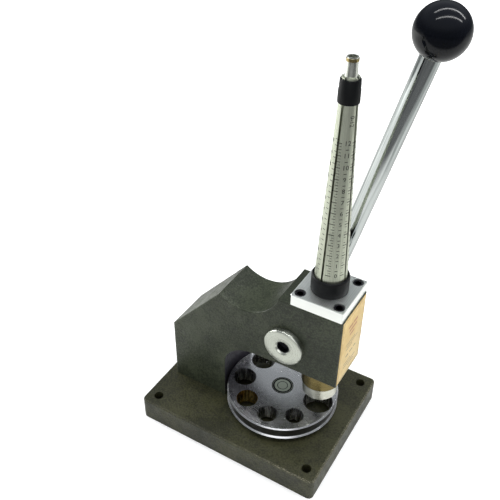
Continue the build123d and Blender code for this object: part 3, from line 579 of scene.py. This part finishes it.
# The top plate's upright faces are painted paler than its top: painted light on its sides.
plate_metal = metal_finish("aluminium_milled", (0.76, 0.79, 0.77), (0.60, 0.63, 0.61), 0.44, 0.32, 1500.0, along_x,
                           0.18, (0.95, 0.97, 0.95))
dress(black_steel, "frame_bolts", "plate_screws", "ram_screw", "hub_set_screw")
dress(inner_steel, "dowel_pins", "pinion_key", "rack_bar", "spindle_lock_nut", "return_spring", "die_spacer",
      "die_pivot_washer", "die_pivot_nut")
dress(pin_steel, "die_pivot")
dress(cap_metal, "shaft_cap")
dress(ram_steel, "ram_button")
dress(tip_steel, "draw_spindle")
dress(jaw_steel, "jaw_1", "jaw_2", "jaw_3", "jaw_4")
dress(shaft_steel, "pivot_shaft", "pinion")
dress(bronze, "near_shaft_bush", "far_shaft_bush", "nose_bush")
dress(brass, "knob_insert", "tip_ring")
dress(plate_metal, "top_plate")
bare = ("steel", "bronze", "brass", "plated", "aluminium")
print("metals:", sum(m.name.startswith(bare) for m in bpy.data.materials))

# %% [markdown]
# ### Die plate
# The top of the die plate is lapped, its rim is painted dark as a painted reflection of the dark base beside it, and
# the reamed holes show upright streaks. One of the holes is stained gold. All of that is on one mesh, so masks tell
# the regions apart: how upright a face stands, how far it is from the plate's axis, and how far from the axis of the
# stained hole.

# %% Finish of the die plate
RIM_WIDTH = 2.2 * MM
STAINED_REACH = 12.0 * MM
STREAK_SCALE = (420.0, 420.0, 14.0)
openings = {one["name"]: one["box_m"] for one in frame["record"]["physics"]["openings"]}
stained_low, stained_high = openings["die_hole_4"]
stained_x, stained_y = ((stained_low[axis] + stained_high[axis]) / 2 for axis in (0, 1))


def lapped_plate():
    """Lapped face, a rim painted dark as a painted reflection, and reamed holes, one of them stained."""
    made, tree, shader = plain_material("steel_lapped", (0.56, 0.57, 0.59), 0.3)
    shader.inputs["Metallic"].default_value = 1.0
    x, y, z = coordinates(tree)
    reach = distance_from(tree, x, y, *die_axis)
    marks = use_group(tree, tool_lines, Distance=reach, Lines=2500.0, Dull=0.34, Bright=0.22)
    face = blend_colours(tree, ramp(tree, marks["Shade"], 0.3, 0.7), (0.56, 0.56, 0.58), (0.68, 0.69, 0.71))
    streak = ramp(tree, noise(tree, stretched_place(tree, STREAK_SCALE), 1.0, 3.0, 0.7), 0.42, 0.60)
    reamed = blend_colours(tree, streak, (0.20, 0.20, 0.21), (0.95, 0.95, 0.97))
    stained = blend_colours(tree, streak, (0.24, 0.16, 0.05), (0.80, 0.62, 0.26))
    from_stained = distance_from(tree, x, y, stained_x, stained_y)
    in_stained = ramp(tree, from_stained, STAINED_REACH, STAINED_REACH + BLUR, 1.0, 0.0)
    bore = blend_colours(tree, in_stained, reamed, stained)
    # The rim's upright faces are painted dark: a painted reflection of the dark base and its shade.
    outside = ramp(tree, reach, die_radius - RIM_WIDTH, die_radius - RIM_WIDTH + BLUR)
    wall = blend_colours(tree, outside, bore, (0.11, 0.11, 0.11))
    tree.links.new(blend_colours(tree, wall_mask(tree), face, wall), shader.inputs["Base Color"])
    tree.links.new(marks["Roughness"], shader.inputs["Roughness"])
    bump(tree, shader, marks["Height"], 0.05, LINE_DEPTH)
    return made


dress(lapped_plate(), "die_plate")
print("stained hole in mm at", round(stained_x / MM, 1), round(stained_y / MM, 1))

# %% [markdown]
# ### Chrome, black ball and rubber
# Chrome and the ball are smooth, so only finger marks show on them. The ball is a hard moulded plastic, black
# through, with a clear shine. The bar was drawn before it was plated, so it has streaks along it, and these streaks
# are also painted reflections of the dark and bright bands it mirrors. The rubber rings are dull with a fine grain.

# %% Smooth finishes
def smooth_finish(name, colour, clean, touched, size, metallic=0.0, shine=0.5):
    """A smooth surface with finger marks. It gives back the material, its nodes and the shader."""
    made, tree, shader = plain_material(name, colour, clean)
    shader.inputs["Metallic"].default_value = metallic
    shader.inputs["Specular IOR Level"].default_value = shine
    marks = use_group(tree, handling, Size=size, Clean=clean, Touched=touched)
    tree.links.new(marks["Roughness"], shader.inputs["Roughness"])
    darker = tuple(c * 0.88 for c in colour)
    tree.links.new(blend_colours(tree, marks["Mask"], colour, darker), shader.inputs["Base Color"])
    return made, tree, shader


insert_lo, insert_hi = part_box("knob_insert")
LEVER_LEAN = math.atan2((insert_lo.x + insert_hi.x) / 2 - shaft_x, (insert_lo.z + insert_hi.z) / 2 - shaft_z)
chrome, tree, shader = smooth_finish("chrome_rod", (0.56, 0.59, 0.60), 0.07, 0.16, 45.0, metallic=1.0)
# Dark and bright streaks along the bar: drawing marks, and painted reflections of the bands it mirrors.
bar_streak_noise = noise(tree, stretched_place(tree, (330.0, 330.0, 5.0), LEVER_LEAN), 1.0, 4.0, 0.65)
streaks_and_painted_bands = blend_colours(tree, ramp(tree, bar_streak_noise, 0.40, 0.58), (0.25, 0.27, 0.27), (0.56, 0.59, 0.59))
tree.links.new(streaks_and_painted_bands, shader.inputs["Base Color"])

rubber, tree, shader = smooth_finish("rubber_black", (0.0040, 0.0046, 0.0055), 0.46, 0.60, 120.0, shine=0.18)
bump(tree, shader, noise(tree, object_place(tree), 1400.0, 3.0, 0.6), 0.25, 0.08 * MM)

ball_black = smooth_finish("ball_black", (0.0060, 0.0072, 0.0115), 0.11, 0.17, 60.0, shine=0.22)[0]
engraving = smooth_finish("engraving_black", (0.018, 0.017, 0.016), 0.5, 0.7, 300.0)[0]
dress(chrome, "lever_rod")
dress(ball_black, "ball_knob")
dress(rubber, "mandrel_collar", "rubber_sleeve")
print("lever leans", round(math.degrees(LEVER_LEAN), 2), "degrees")

# %% [markdown]
# ## Making the detailed pieces
# Most of these parts come off a lathe, so half an outline is spun about Z and the hard corners are then
# bevelled. A hexagon socket is not round, so that part is bridged from ring to ring instead. Every piece
# is drawn in millimetres about the origin, and one matrix puts it in its place before it becomes an object.

# %% Helpers for drawing pieces
WELD = 1e-4


def everything(bm):
    return bm.verts[:] + bm.edges[:] + bm.faces[:]


def spun(outline, closed=False, steps=72):
    """Spins an outline of (radius, height) in mm about Z. A closed outline gives a ring."""
    bm = bmesh.new()
    row = [bm.verts.new((radius, 0.0, height)) for radius, height in outline]
    pairs = list(zip(row, row[1:])) + ([(row[-1], row[0])] if closed else [])
    edges = [bm.edges.new(pair) for pair in pairs]
    bmesh.ops.spin(bm, geom=row + edges, axis=(0, 0, 1), cent=(0, 0, 0), angle=math.tau, steps=steps, use_merge=True)
    bmesh.ops.remove_doubles(bm, verts=bm.verts, dist=WELD)
    bmesh.ops.recalc_face_normals(bm, faces=bm.faces)
    return bm


def soften(bm, width, segments=2, sharper_than=30.0):
    """Bevels every edge whose two faces meet at more than an angle in degrees."""
    hard = [e for e in bm.edges if len(e.link_faces) == 2 and e.calc_face_angle() > math.radians(sharper_than)]
    bmesh.ops.bevel(bm, geom=hard, offset=width, offset_type="OFFSET", segments=segments, profile=0.5,
                    affect="EDGES", clamp_overlap=True, material=-1)


def ringed(rings):
    """Bridges rings of (radius, height, corners) in mm into one closed body."""
    bm = bmesh.new()
    loops = []
    for radius, height, corners in rings:
        made = bmesh.ops.create_circle(bm, segments=corners, radius=radius)["verts"]
        bmesh.ops.translate(bm, vec=(0, 0, height), verts=made)
        loops.append({e for v in made for e in v.link_edges})
    for one, two in zip(loops, loops[1:]):
        bmesh.ops.bridge_loops(bm, edges=list(one | two))
    for end in (loops[0], loops[-1]):
        bmesh.ops.contextual_create(bm, geom=list(end))
    bmesh.ops.recalc_face_normals(bm, faces=bm.faces)
    return bm


def hexagon(across_flats):
    """Radius of a hexagon's corners."""
    return across_flats / 2 / math.cos(math.pi / 6)


# %% Helpers for placing pieces
def piece(name, bm, materials, body, place=Matrix(), replaces=(), smooth_below=35.0):
    """Turns a bmesh in mm into a finished object on a body, at its place in the press."""
    bmesh.ops.transform(bm, matrix=place @ Matrix.Scale(MM, 4), verts=bm.verts)
    mesh = bpy.data.meshes.new(name)
    bm.to_mesh(mesh)
    bm.free()
    for material in materials:
        mesh.materials.append(material)
    mesh.shade_smooth()
    mesh.set_sharp_from_angle(angle=math.radians(smooth_below))
    made = bpy.data.objects.new(name, mesh)
    bpy.context.scene.collection.objects.link(made)
    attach(made, body)
    if replaces:
        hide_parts(*replaces)
    print(f"{name}: {len(mesh.polygons)} faces on {body}")
    return made


def centre_of(node):
    low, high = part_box(node)
    return (low + high) / 2


def span_mm(node):
    """Lowest height, highest height and outer radius of a turned node, in mm."""
    low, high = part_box(node)
    return low.z / MM, high.z / MM, (high.x - low.x) / 2 / MM


press_axis = Matrix.Translation((centre_of("mandrel_collar").x, 0.0, 0.0))
print("mandrel axis in mm at x", round(press_axis.translation.x / MM, 2))

# %% [markdown]
# ### Ball of the lever
# The knob is a moulded ball with a small flat where the bar enters. A sphere is cut straight across at
# the flat, and the cut edge is then drawn up inside as the bore that hides the brass insert.

# %% Ball
ENTRY_R, ENTRY_DEPTH = 8.05, 22.2
BALL_AROUND, BALL_UP = 96, 64

ball_lo, ball_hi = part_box("ball_knob")
ball_radius = (ball_hi.y - ball_lo.y) / 2
lever_line = Vector((math.sin(LEVER_LEAN), 0.0, math.cos(LEVER_LEAN)))
lever_foot = Vector((shaft_x, centre_of("lever_rod").y, shaft_z))
ball_reach = (ball_hi.z - ball_radius - shaft_z) / math.cos(LEVER_LEAN)
lever_turn = lever_line.to_track_quat("Z", "Y").to_matrix().to_4x4()

bm = bmesh.new()
bmesh.ops.create_uvsphere(bm, u_segments=BALL_AROUND, v_segments=BALL_UP, radius=ball_radius / MM)
flat = -math.sqrt((ball_radius / MM) ** 2 - ENTRY_R ** 2)
bmesh.ops.bisect_plane(bm, geom=everything(bm), plane_co=(0, 0, flat), plane_no=(0, 0, 1), clear_inner=True)
rim = [e for e in bm.edges if e.is_boundary]
drawn_up = bmesh.ops.extrude_edge_only(bm, edges=rim)["geom"]
bmesh.ops.translate(bm, vec=(0, 0, ENTRY_DEPTH), verts=[v for v in drawn_up if isinstance(v, bmesh.types.BMVert)])
bmesh.ops.contextual_create(bm, geom=[e for e in bm.edges if e.is_boundary])
bmesh.ops.recalc_face_normals(bm, faces=bm.faces)
soften(bm, 0.25, 3, 50.0)
piece("ball_grip", bm, [ball_black], "lever_set",
      Matrix.Translation(lever_foot + lever_line * ball_reach) @ lever_turn, ["ball_knob"], 30.0)
print("ball is", round(ball_reach / MM, 1), "mm from the shaft")

# %% [markdown]
# ### What the soft lamps leave out
# On the ball the soft lamps would show as two large grey squares, and the left one would whiten the rim
# of the die plate. Light linking takes those pieces out of a lamp's reach. Flags or smaller lamps could
# do the same in a studio, but they would darken the painted iron too.

# %% Light linking
def keep_off(lamp_name, *piece_names):
    skipped = bpy.data.collections.new(lamp_name + "_skips")
    bpy.context.scene.collection.children.link(skipped)
    for name in piece_names:
        skipped.objects.link(bpy.data.objects[name])
    bpy.data.objects[lamp_name].light_linking.receiver_collection = skipped
    for member in skipped.collection_objects:
        member.light_linking.link_state = "EXCLUDE"


keep_off("soft_front", "ball_grip")
keep_off("soft_left", "ball_grip", "die_plate")

# %% [markdown]
# ### Cap screw on the shaft
# A plated cap closes the shaft on the near side. It has a broad bevel and a hexagon socket whose mouth is
# countersunk. Round rings make the outside and the countersink, and rings of six corners the socket.

# %% Shaft cap
CAP_SHANK, CAP_SHANK_FOOT, CAP_UNDER = 6.0, -21.3, -5.3
CAP_SOCKET, CAP_SOCKET_FLOOR = 10.0, -6.0
CAP_DIMPLE, CAP_DIMPLE_FLOOR = 0.8, -7.4
FINE, COARSE, SIX = 96, 48, 6

cap_lo, cap_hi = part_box("shaft_cap")
cap_r = (cap_hi.x - cap_lo.x) / 2 / MM
bm = ringed([
    (CAP_DIMPLE, CAP_SHANK_FOOT, COARSE), (CAP_SHANK, CAP_SHANK_FOOT, COARSE), (CAP_SHANK, CAP_UNDER, COARSE),
    (cap_r, CAP_UNDER, FINE), (cap_r, -1.25, FINE), (cap_r - 0.22, -0.72, FINE), (cap_r - 0.6, -0.28, FINE),
    (cap_r - 1.15, 0.0, FINE), (12.5, 0.0, FINE), (7.5, 0.0, FINE), (7.2, -0.15, FINE), (6.0, -1.5, FINE),
    (hexagon(CAP_SOCKET), -1.55, SIX), (hexagon(CAP_SOCKET), CAP_SOCKET_FLOOR, SIX),
    (CAP_DIMPLE, CAP_DIMPLE_FLOOR, SIX),
])
# The socket's inside faces take the blacked steel: painted shade in the socket.
for face in bm.faces:
    spot = face.calc_center_median()
    if spot.xy.length < 5.9 and spot.z > -8.0:
        face.material_index = 1
near_end = Matrix.Translation((shaft_x, cap_lo.y, shaft_z)) @ Matrix.Rotation(math.pi / 2, 4, "X")
piece("shaft_cap_screw", bm, [cap_metal, black_steel], "lever_set", near_end, ["shaft_cap"], 28.0)

# %% [markdown]
# ### Rubber rings on the mandrel
# A thick rubber collar guards the plate where the mandrel leaves it, and a thin cuff holds the four jaws
# together near the top. Each is a ring turned from a closed outline whose inside follows the taper. The
# lip of the cuff is thick enough to cover the jaws when they spread.

# %% Collar and cuff
MANDREL_FOOT_R, TAPER = 14.0, 0.0427
RUBBER_GAP, LIP = 0.06, 0.92
collar_foot, collar_top, collar_r = span_mm("mandrel_collar")
cuff_foot, cuff_top, cuff_r = span_mm("rubber_sleeve")


def mandrel_r(height):
    """Radius of the mandrel in mm at a height in mm above the bench."""
    return MANDREL_FOOT_R - TAPER * (height - collar_foot)


inner = mandrel_r(collar_top)
bm = spun([(mandrel_r(collar_foot) + 0.05, collar_foot), (collar_r, collar_foot), (collar_r, collar_top - 2.2),
           (collar_r - 0.25, collar_top - 0.9), (collar_r - 0.9, collar_top - 0.05), (inner + 1.15, collar_top),
           (inner + 0.55, collar_top - 0.5), (inner + RUBBER_GAP, collar_top - 1.1)], True, FINE)
soften(bm, 0.25, 3, 25.0)
piece("rubber_collar", bm, [rubber], "stand", press_axis, ["mandrel_collar"], 40.0)

inner = mandrel_r(cuff_top)
lip = inner + LIP
bm = spun([(mandrel_r(cuff_foot) + RUBBER_GAP, cuff_foot), (cuff_r - 0.1, cuff_foot), (cuff_r, cuff_foot + 0.5),
           (cuff_r - 0.08, cuff_top - 8.2), (cuff_r - 0.35, cuff_top - 6.6), (lip + 0.25, cuff_top - 1.2),
           (lip, cuff_top - 0.2), (lip - 0.25, cuff_top), (inner + RUBBER_GAP, cuff_top)], True, FINE)
soften(bm, 0.2, 3, 25.0)
piece("rubber_cuff", bm, [rubber], "stand", press_axis, ["rubber_sleeve"], 40.0)

# %% [markdown]
# ### Return spring
# Inside the nose a coil spring lifts the ram again. It packs down as the ram comes down. A small circle is spun up a
# screw line to make the wire.

# %% Spring
WIRE, WIRE_SIDES = 2.0, 12
TURNS, STEPS_PER_TURN = 4.5, 36

foot, top_end, outer = span_mm("return_spring")
steps = int(TURNS * STEPS_PER_TURN)
bm = bmesh.new()
bmesh.ops.create_circle(bm, segments=WIRE_SIDES, radius=WIRE / 2, cap_ends=True)
bmesh.ops.rotate(bm, verts=bm.verts, cent=(0, 0, 0), matrix=Matrix.Rotation(math.pi / 2, 3, "X"))
bmesh.ops.translate(bm, verts=bm.verts, vec=(outer - WIRE / 2, 0, foot + WIRE / 2))
climb = (top_end - foot - WIRE) / steps
bmesh.ops.spin(bm, geom=everything(bm), cent=(0, 0, 0), axis=(0, 0, 1), dvec=(0, 0, climb),
               angle=math.tau * TURNS, steps=steps)
bmesh.ops.recalc_face_normals(bm, faces=bm.faces)
spring = piece("nose_spring", bm, [inner_steel], "stand", press_axis, ["return_spring"], 60.0)

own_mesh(spring)

# %% [markdown]
# ### Screws in the top plate
# Four black socket screws sink into the plate. Their heads show a rounded rim and a hexagon socket. Each
# is turned a little further than the last, as screws are when they are driven home.

# %% Plate screws
HEAD_R, HEAD_DEPTH = 4.25, 5.0
THREAD_R, SCREW_DEPTH = 2.5, 24.9
SCREW_SOCKET, SCREW_SOCKET_DEPTH = 4.0, 2.6
SCREW_TURN = 0.4

screw_lo, screw_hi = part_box("plate_screws")
head_top = screw_hi.z / MM
reach_x = {1: screw_hi.x - HEAD_R * MM, -1: screw_lo.x + HEAD_R * MM}
reach_y = {1: screw_hi.y - HEAD_R * MM, -1: screw_lo.y + HEAD_R * MM}
for number, (x, y) in enumerate(((1, 1), (-1, 1), (-1, -1), (1, -1)), 1):
    bm = ringed([(radius, head_top - depth, corners) for radius, depth, corners in (
        (THREAD_R - 0.1, SCREW_DEPTH, 24), (THREAD_R, HEAD_DEPTH, 24), (HEAD_R, HEAD_DEPTH, COARSE),
        (HEAD_R, 0.55, COARSE), (HEAD_R - 0.14, 0.2, COARSE), (HEAD_R - 0.5, 0.0, COARSE), (2.75, 0.0, COARSE),
        (2.55, 0.15, COARSE), (hexagon(SCREW_SOCKET), 0.35, SIX), (hexagon(SCREW_SOCKET), SCREW_SOCKET_DEPTH, SIX),
    )])
    place = Matrix.Translation((reach_x[x], reach_y[y], 0.0)) @ Matrix.Rotation(SCREW_TURN * number, 4, "Z")
    piece(f"plate_screw_{number}", bm, [black_steel], "stand", place, ["plate_screws"], 28.0)

# %% [markdown]
# ### Pin that the die plate turns on
# The head of the pin sits flush in the plate. A narrow ring cut in its face and a small bevel are what
# tell it from the plate, so both are in the outline that is spun.

# %% Pivot head
THREAD_TOP, PIN_THREAD_R, PIN_SHANK_R = 11.0, 4.9, 6.0
PIN_HEAD = 5.9

foot, lid, pin_r = span_mm("die_pivot")
bm = spun([
    (0.0, foot), (PIN_THREAD_R, foot), (PIN_THREAD_R, THREAD_TOP), (PIN_SHANK_R, THREAD_TOP),
    (PIN_SHANK_R, lid - PIN_HEAD), (pin_r, lid - PIN_HEAD), (pin_r, lid - 0.6), (pin_r - 0.35, lid - 0.05),
    (pin_r - 0.7, lid), (pin_r - 0.9, lid - 0.6), (pin_r - 2.0, lid - 0.6), (pin_r - 2.3, lid - 0.02),
    (5.2, lid - 0.02), (5.0, lid - 0.2), (4.7, lid - 0.2), (4.5, lid - 0.02), (0.0, lid - 0.02),
])
# The faces below the head's face, the ring grooves and the lower bevel among them, take the blacked steel: painted
# shade in the grooves.
for face in bm.faces:
    if face.calc_center_median().z < lid - 0.04:
        face.material_index = 1
piece("pivot_pin", bm, [pin_steel, black_steel], "stand", Matrix.Translation((*die_axis, 0)), ["die_pivot"],
      25.0)

# %% [markdown]
# ### Scale on the mandrel
# Each jaw carries its own row of size marks: a line to the left and right of every number, and short
# lines for the half and quarter sizes between. The marks are drawn flat, cut into narrow strips so that
# they can bend, and then wrapped round the cone. Numbers come from Blender's own font, as a mesh.

# %% Flat artwork for a scale
SIZE_STEP, FIRST_MARK, SIZES = 9.5, 203.7, 13


def add_bar(bm, across, height, length, thick):
    """A small flat rectangle, in mm."""
    made = bmesh.ops.create_grid(bm, x_segments=1, y_segments=1, size=0.5)["verts"]
    bmesh.ops.scale(bm, vec=(length, thick, 1.0), verts=made)
    bmesh.ops.translate(bm, vec=(across, height, 0.0), verts=made)


def add_number(bm, text, across, height, size, turned=0.0):
    """A number, middle at a point, in mm, turned by degrees."""
    curve = bpy.data.curves.new("number", "FONT")
    curve.body = text
    curve.size = size
    curve.align_x, curve.align_y = "CENTER", "CENTER"
    curve.resolution_u = 2
    holder = bpy.data.objects.new("number", curve)
    flat_mesh = bpy.data.meshes.new_from_object(holder)
    flat_mesh.transform(Matrix.Translation((across, height, 0.0)) @ Matrix.Rotation(math.radians(turned), 4, "Z"))
    bm.from_mesh(flat_mesh)
    bpy.data.meshes.remove(flat_mesh)
    bpy.data.objects.remove(holder)
    bpy.data.curves.remove(curve)


def front_artwork(bm):
    """The scale that faces the user: sizes 0 to 12, with the range written above them."""
    add_number(bm, "0-12", 2.2, 334.0, 4.6, -90.0)
    for index in range(SIZES):
        height = FIRST_MARK + index * SIZE_STEP
        add_bar(bm, -5.6, height, 4.4, 0.62)
        add_bar(bm, 6.2, height, 3.6, 0.62)
        add_number(bm, str(index), 0.7, height, 5.2)
        if index < SIZES - 1:
            add_bar(bm, -4.9, height + SIZE_STEP / 2, 2.8, 0.5)
            add_bar(bm, 0.7, height + SIZE_STEP / 2, 2.4, 0.5)
            for quarter in (0.25, 0.75):
                add_bar(bm, -4.4, height + SIZE_STEP * quarter, 1.6, 0.42)
                add_bar(bm, 5.6, height + SIZE_STEP * quarter, 1.8, 0.42)


def side_artwork(bm):
    """A finer scale of ring girths in millimetres."""
    first_girth, girth_step = 40, 2
    for index in range(SIZES * 2 - 1):
        height = FIRST_MARK + index * SIZE_STEP / 2
        whole = index % 2 == 0
        add_bar(bm, -4.6, height, 3.6 if whole else 2.4, 0.55)
        add_bar(bm, 5.2, height + SIZE_STEP / 4, 2.6, 0.5)
        if whole:
            add_number(bm, str(first_girth + index * girth_step), 0.4, height, 3.6)


# %% Wrap each scale on its jaw
STRIP, STRIPS_EACH_SIDE = 0.95, 9
PROUD = 0.045
MARK_WELD = 0.01
FRONT_JAW = 4


def wrapped(bm, direction):
    """Bends flat artwork in mm round the cone, facing a direction in radians, and gives it a thickness."""
    bmesh.ops.remove_doubles(bm, verts=bm.verts, dist=MARK_WELD)
    bmesh.ops.dissolve_degenerate(bm, edges=bm.edges, dist=MARK_WELD)
    for strip in range(-STRIPS_EACH_SIDE, STRIPS_EACH_SIDE + 1):
        bmesh.ops.bisect_plane(bm, geom=everything(bm), plane_co=(strip * STRIP, 0, 0), plane_no=(1, 0, 0))
    for vert in bm.verts:
        across, height = vert.co.x, vert.co.y
        radius = mandrel_r(height)
        turned = direction + across / radius
        vert.co = Vector((radius * math.cos(turned), radius * math.sin(turned), height))
    raised = bmesh.ops.extrude_face_region(bm, geom=bm.faces[:], use_keep_orig=True)["geom"]
    for vert in (item for item in raised if isinstance(item, bmesh.types.BMVert)):
        vert.co += Vector((vert.co.x, vert.co.y, 0.0)).normalized() * PROUD
    bmesh.ops.recalc_face_normals(bm, faces=bm.faces)


behaviour = frame["record"]["behaviour"]
for number in (1, 2, 3, 4):
    body = next(b for b, nodes in behaviour["bodies"].items() if f"jaw_{number}" in nodes)
    slide = next(j for j in behaviour["joints"] if j["child"] == body)
    facing = math.atan2(slide["axis"][1], slide["axis"][0])
    bm = bmesh.new()
    if number == FRONT_JAW:
        front_artwork(bm)
    else:
        side_artwork(bm)
    wrapped(bm, facing)
    piece(f"scale_{number}", bm, [engraving], body, press_axis, (), 20.0)
    print(f"jaw {number} faces", round(math.degrees(facing), 1), "degrees")

# %% [markdown]
# ### Label on the head
# A gold card is stuck on the front of the head. It has a thin printed frame, a reddish block and rows of
# short brown bars where a maker's print would be, so it says nothing. The card is a softened slab, and
# the print is laid on it as thin shapes.

# %% Label card
card_gold, tree, shader = plain_material("label_gold", (0.88, 0.63, 0.25), 0.42)
fleck = noise(tree, object_place(tree), 240.0, 3.0, 0.6)
fade = noise(tree, object_place(tree), 22.0, 2.0, 0.5)
aged = ramp(tree, maths(tree, "MULTIPLY_ADD", fleck, 0.35, maths(tree, "MULTIPLY", fade, 0.65)), 0.36, 0.62)
tree.links.new(blend_colours(tree, aged, (0.80, 0.55, 0.19), (0.93, 0.70, 0.31)), shader.inputs["Base Color"])
bump(tree, shader, fleck, 0.12, 0.05 * MM)

card_lo, card_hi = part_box("label_plate")
card_size = (card_hi - card_lo) / MM
middle = (card_lo + card_hi) / 2
bm = bmesh.new()
bmesh.ops.create_cube(bm, size=1.0)
bmesh.ops.scale(bm, vec=card_size, verts=bm.verts)
soften(bm, 0.12, 2, 30.0)
piece("label_card", bm, [card_gold], "stand", Matrix.Translation(middle), ["label_plate"], 30.0)

# %% Print on the label
MARGIN, FRAME_LINE = 2.0, 0.35
INK, INK_LIFT = 0.03, 0.02 * MM
BROWN_ROWS = ((-2.0, 2.0, 18.0, 0.7), (2.0, -1.0, 22.0, 0.7), (-4.0, -4.0, 12.0, 0.7),
              (-6.5, -12.0, 5.5, 1.2), (1.5, -12.0, 6.0, 1.2), (9.0, -12.0, 4.0, 1.2),
              (-5.0, -20.0, 14.0, 0.8), (0.0, -23.5, 24.0, 0.8), (3.5, -27.0, 13.0, 0.8))
RED_ROWS = ((-5.0, 21.0, 8.5, 2.6), (4.5, 21.0, 8.0, 2.6), (0.0, 16.0, 15.0, 2.6), (-1.0, 11.0, 9.0, 2.2))

print_red = smooth_finish("label_red", (0.58, 0.23, 0.10), 0.4, 0.5, 400.0)[0]
print_brown = smooth_finish("label_brown", (0.30, 0.19, 0.09), 0.4, 0.5, 400.0)[0]
half_w, half_h = card_size.y / 2, card_size.z / 2
bm = bmesh.new()
for side in (1, -1):
    add_bar(bm, 0.0, side * (half_h - MARGIN - 0.2), 2 * (half_w - MARGIN), FRAME_LINE)
for side in (-1, 1):
    add_bar(bm, side * (half_w - MARGIN), 0.0, FRAME_LINE, 2 * (half_h - MARGIN - 0.2))
for row in BROWN_ROWS:
    add_bar(bm, *row)
brown_faces = len(bm.faces)
for row in RED_ROWS:
    add_bar(bm, *row)
for number, face in enumerate(bm.faces):
    face.material_index = 0 if number < brown_faces else 1
bmesh.ops.solidify(bm, geom=bm.faces[:], thickness=INK)
stand_up = Matrix(((0, 0, 1, 0), (1, 0, 0, 0), (0, 1, 0, 0), (0, 0, 0, 1)))
piece("label_ink", bm, [print_brown, print_red], "stand",
      Matrix.Translation((card_hi.x + INK_LIFT, middle.y, middle.z)) @ stand_up, (), 20.0)
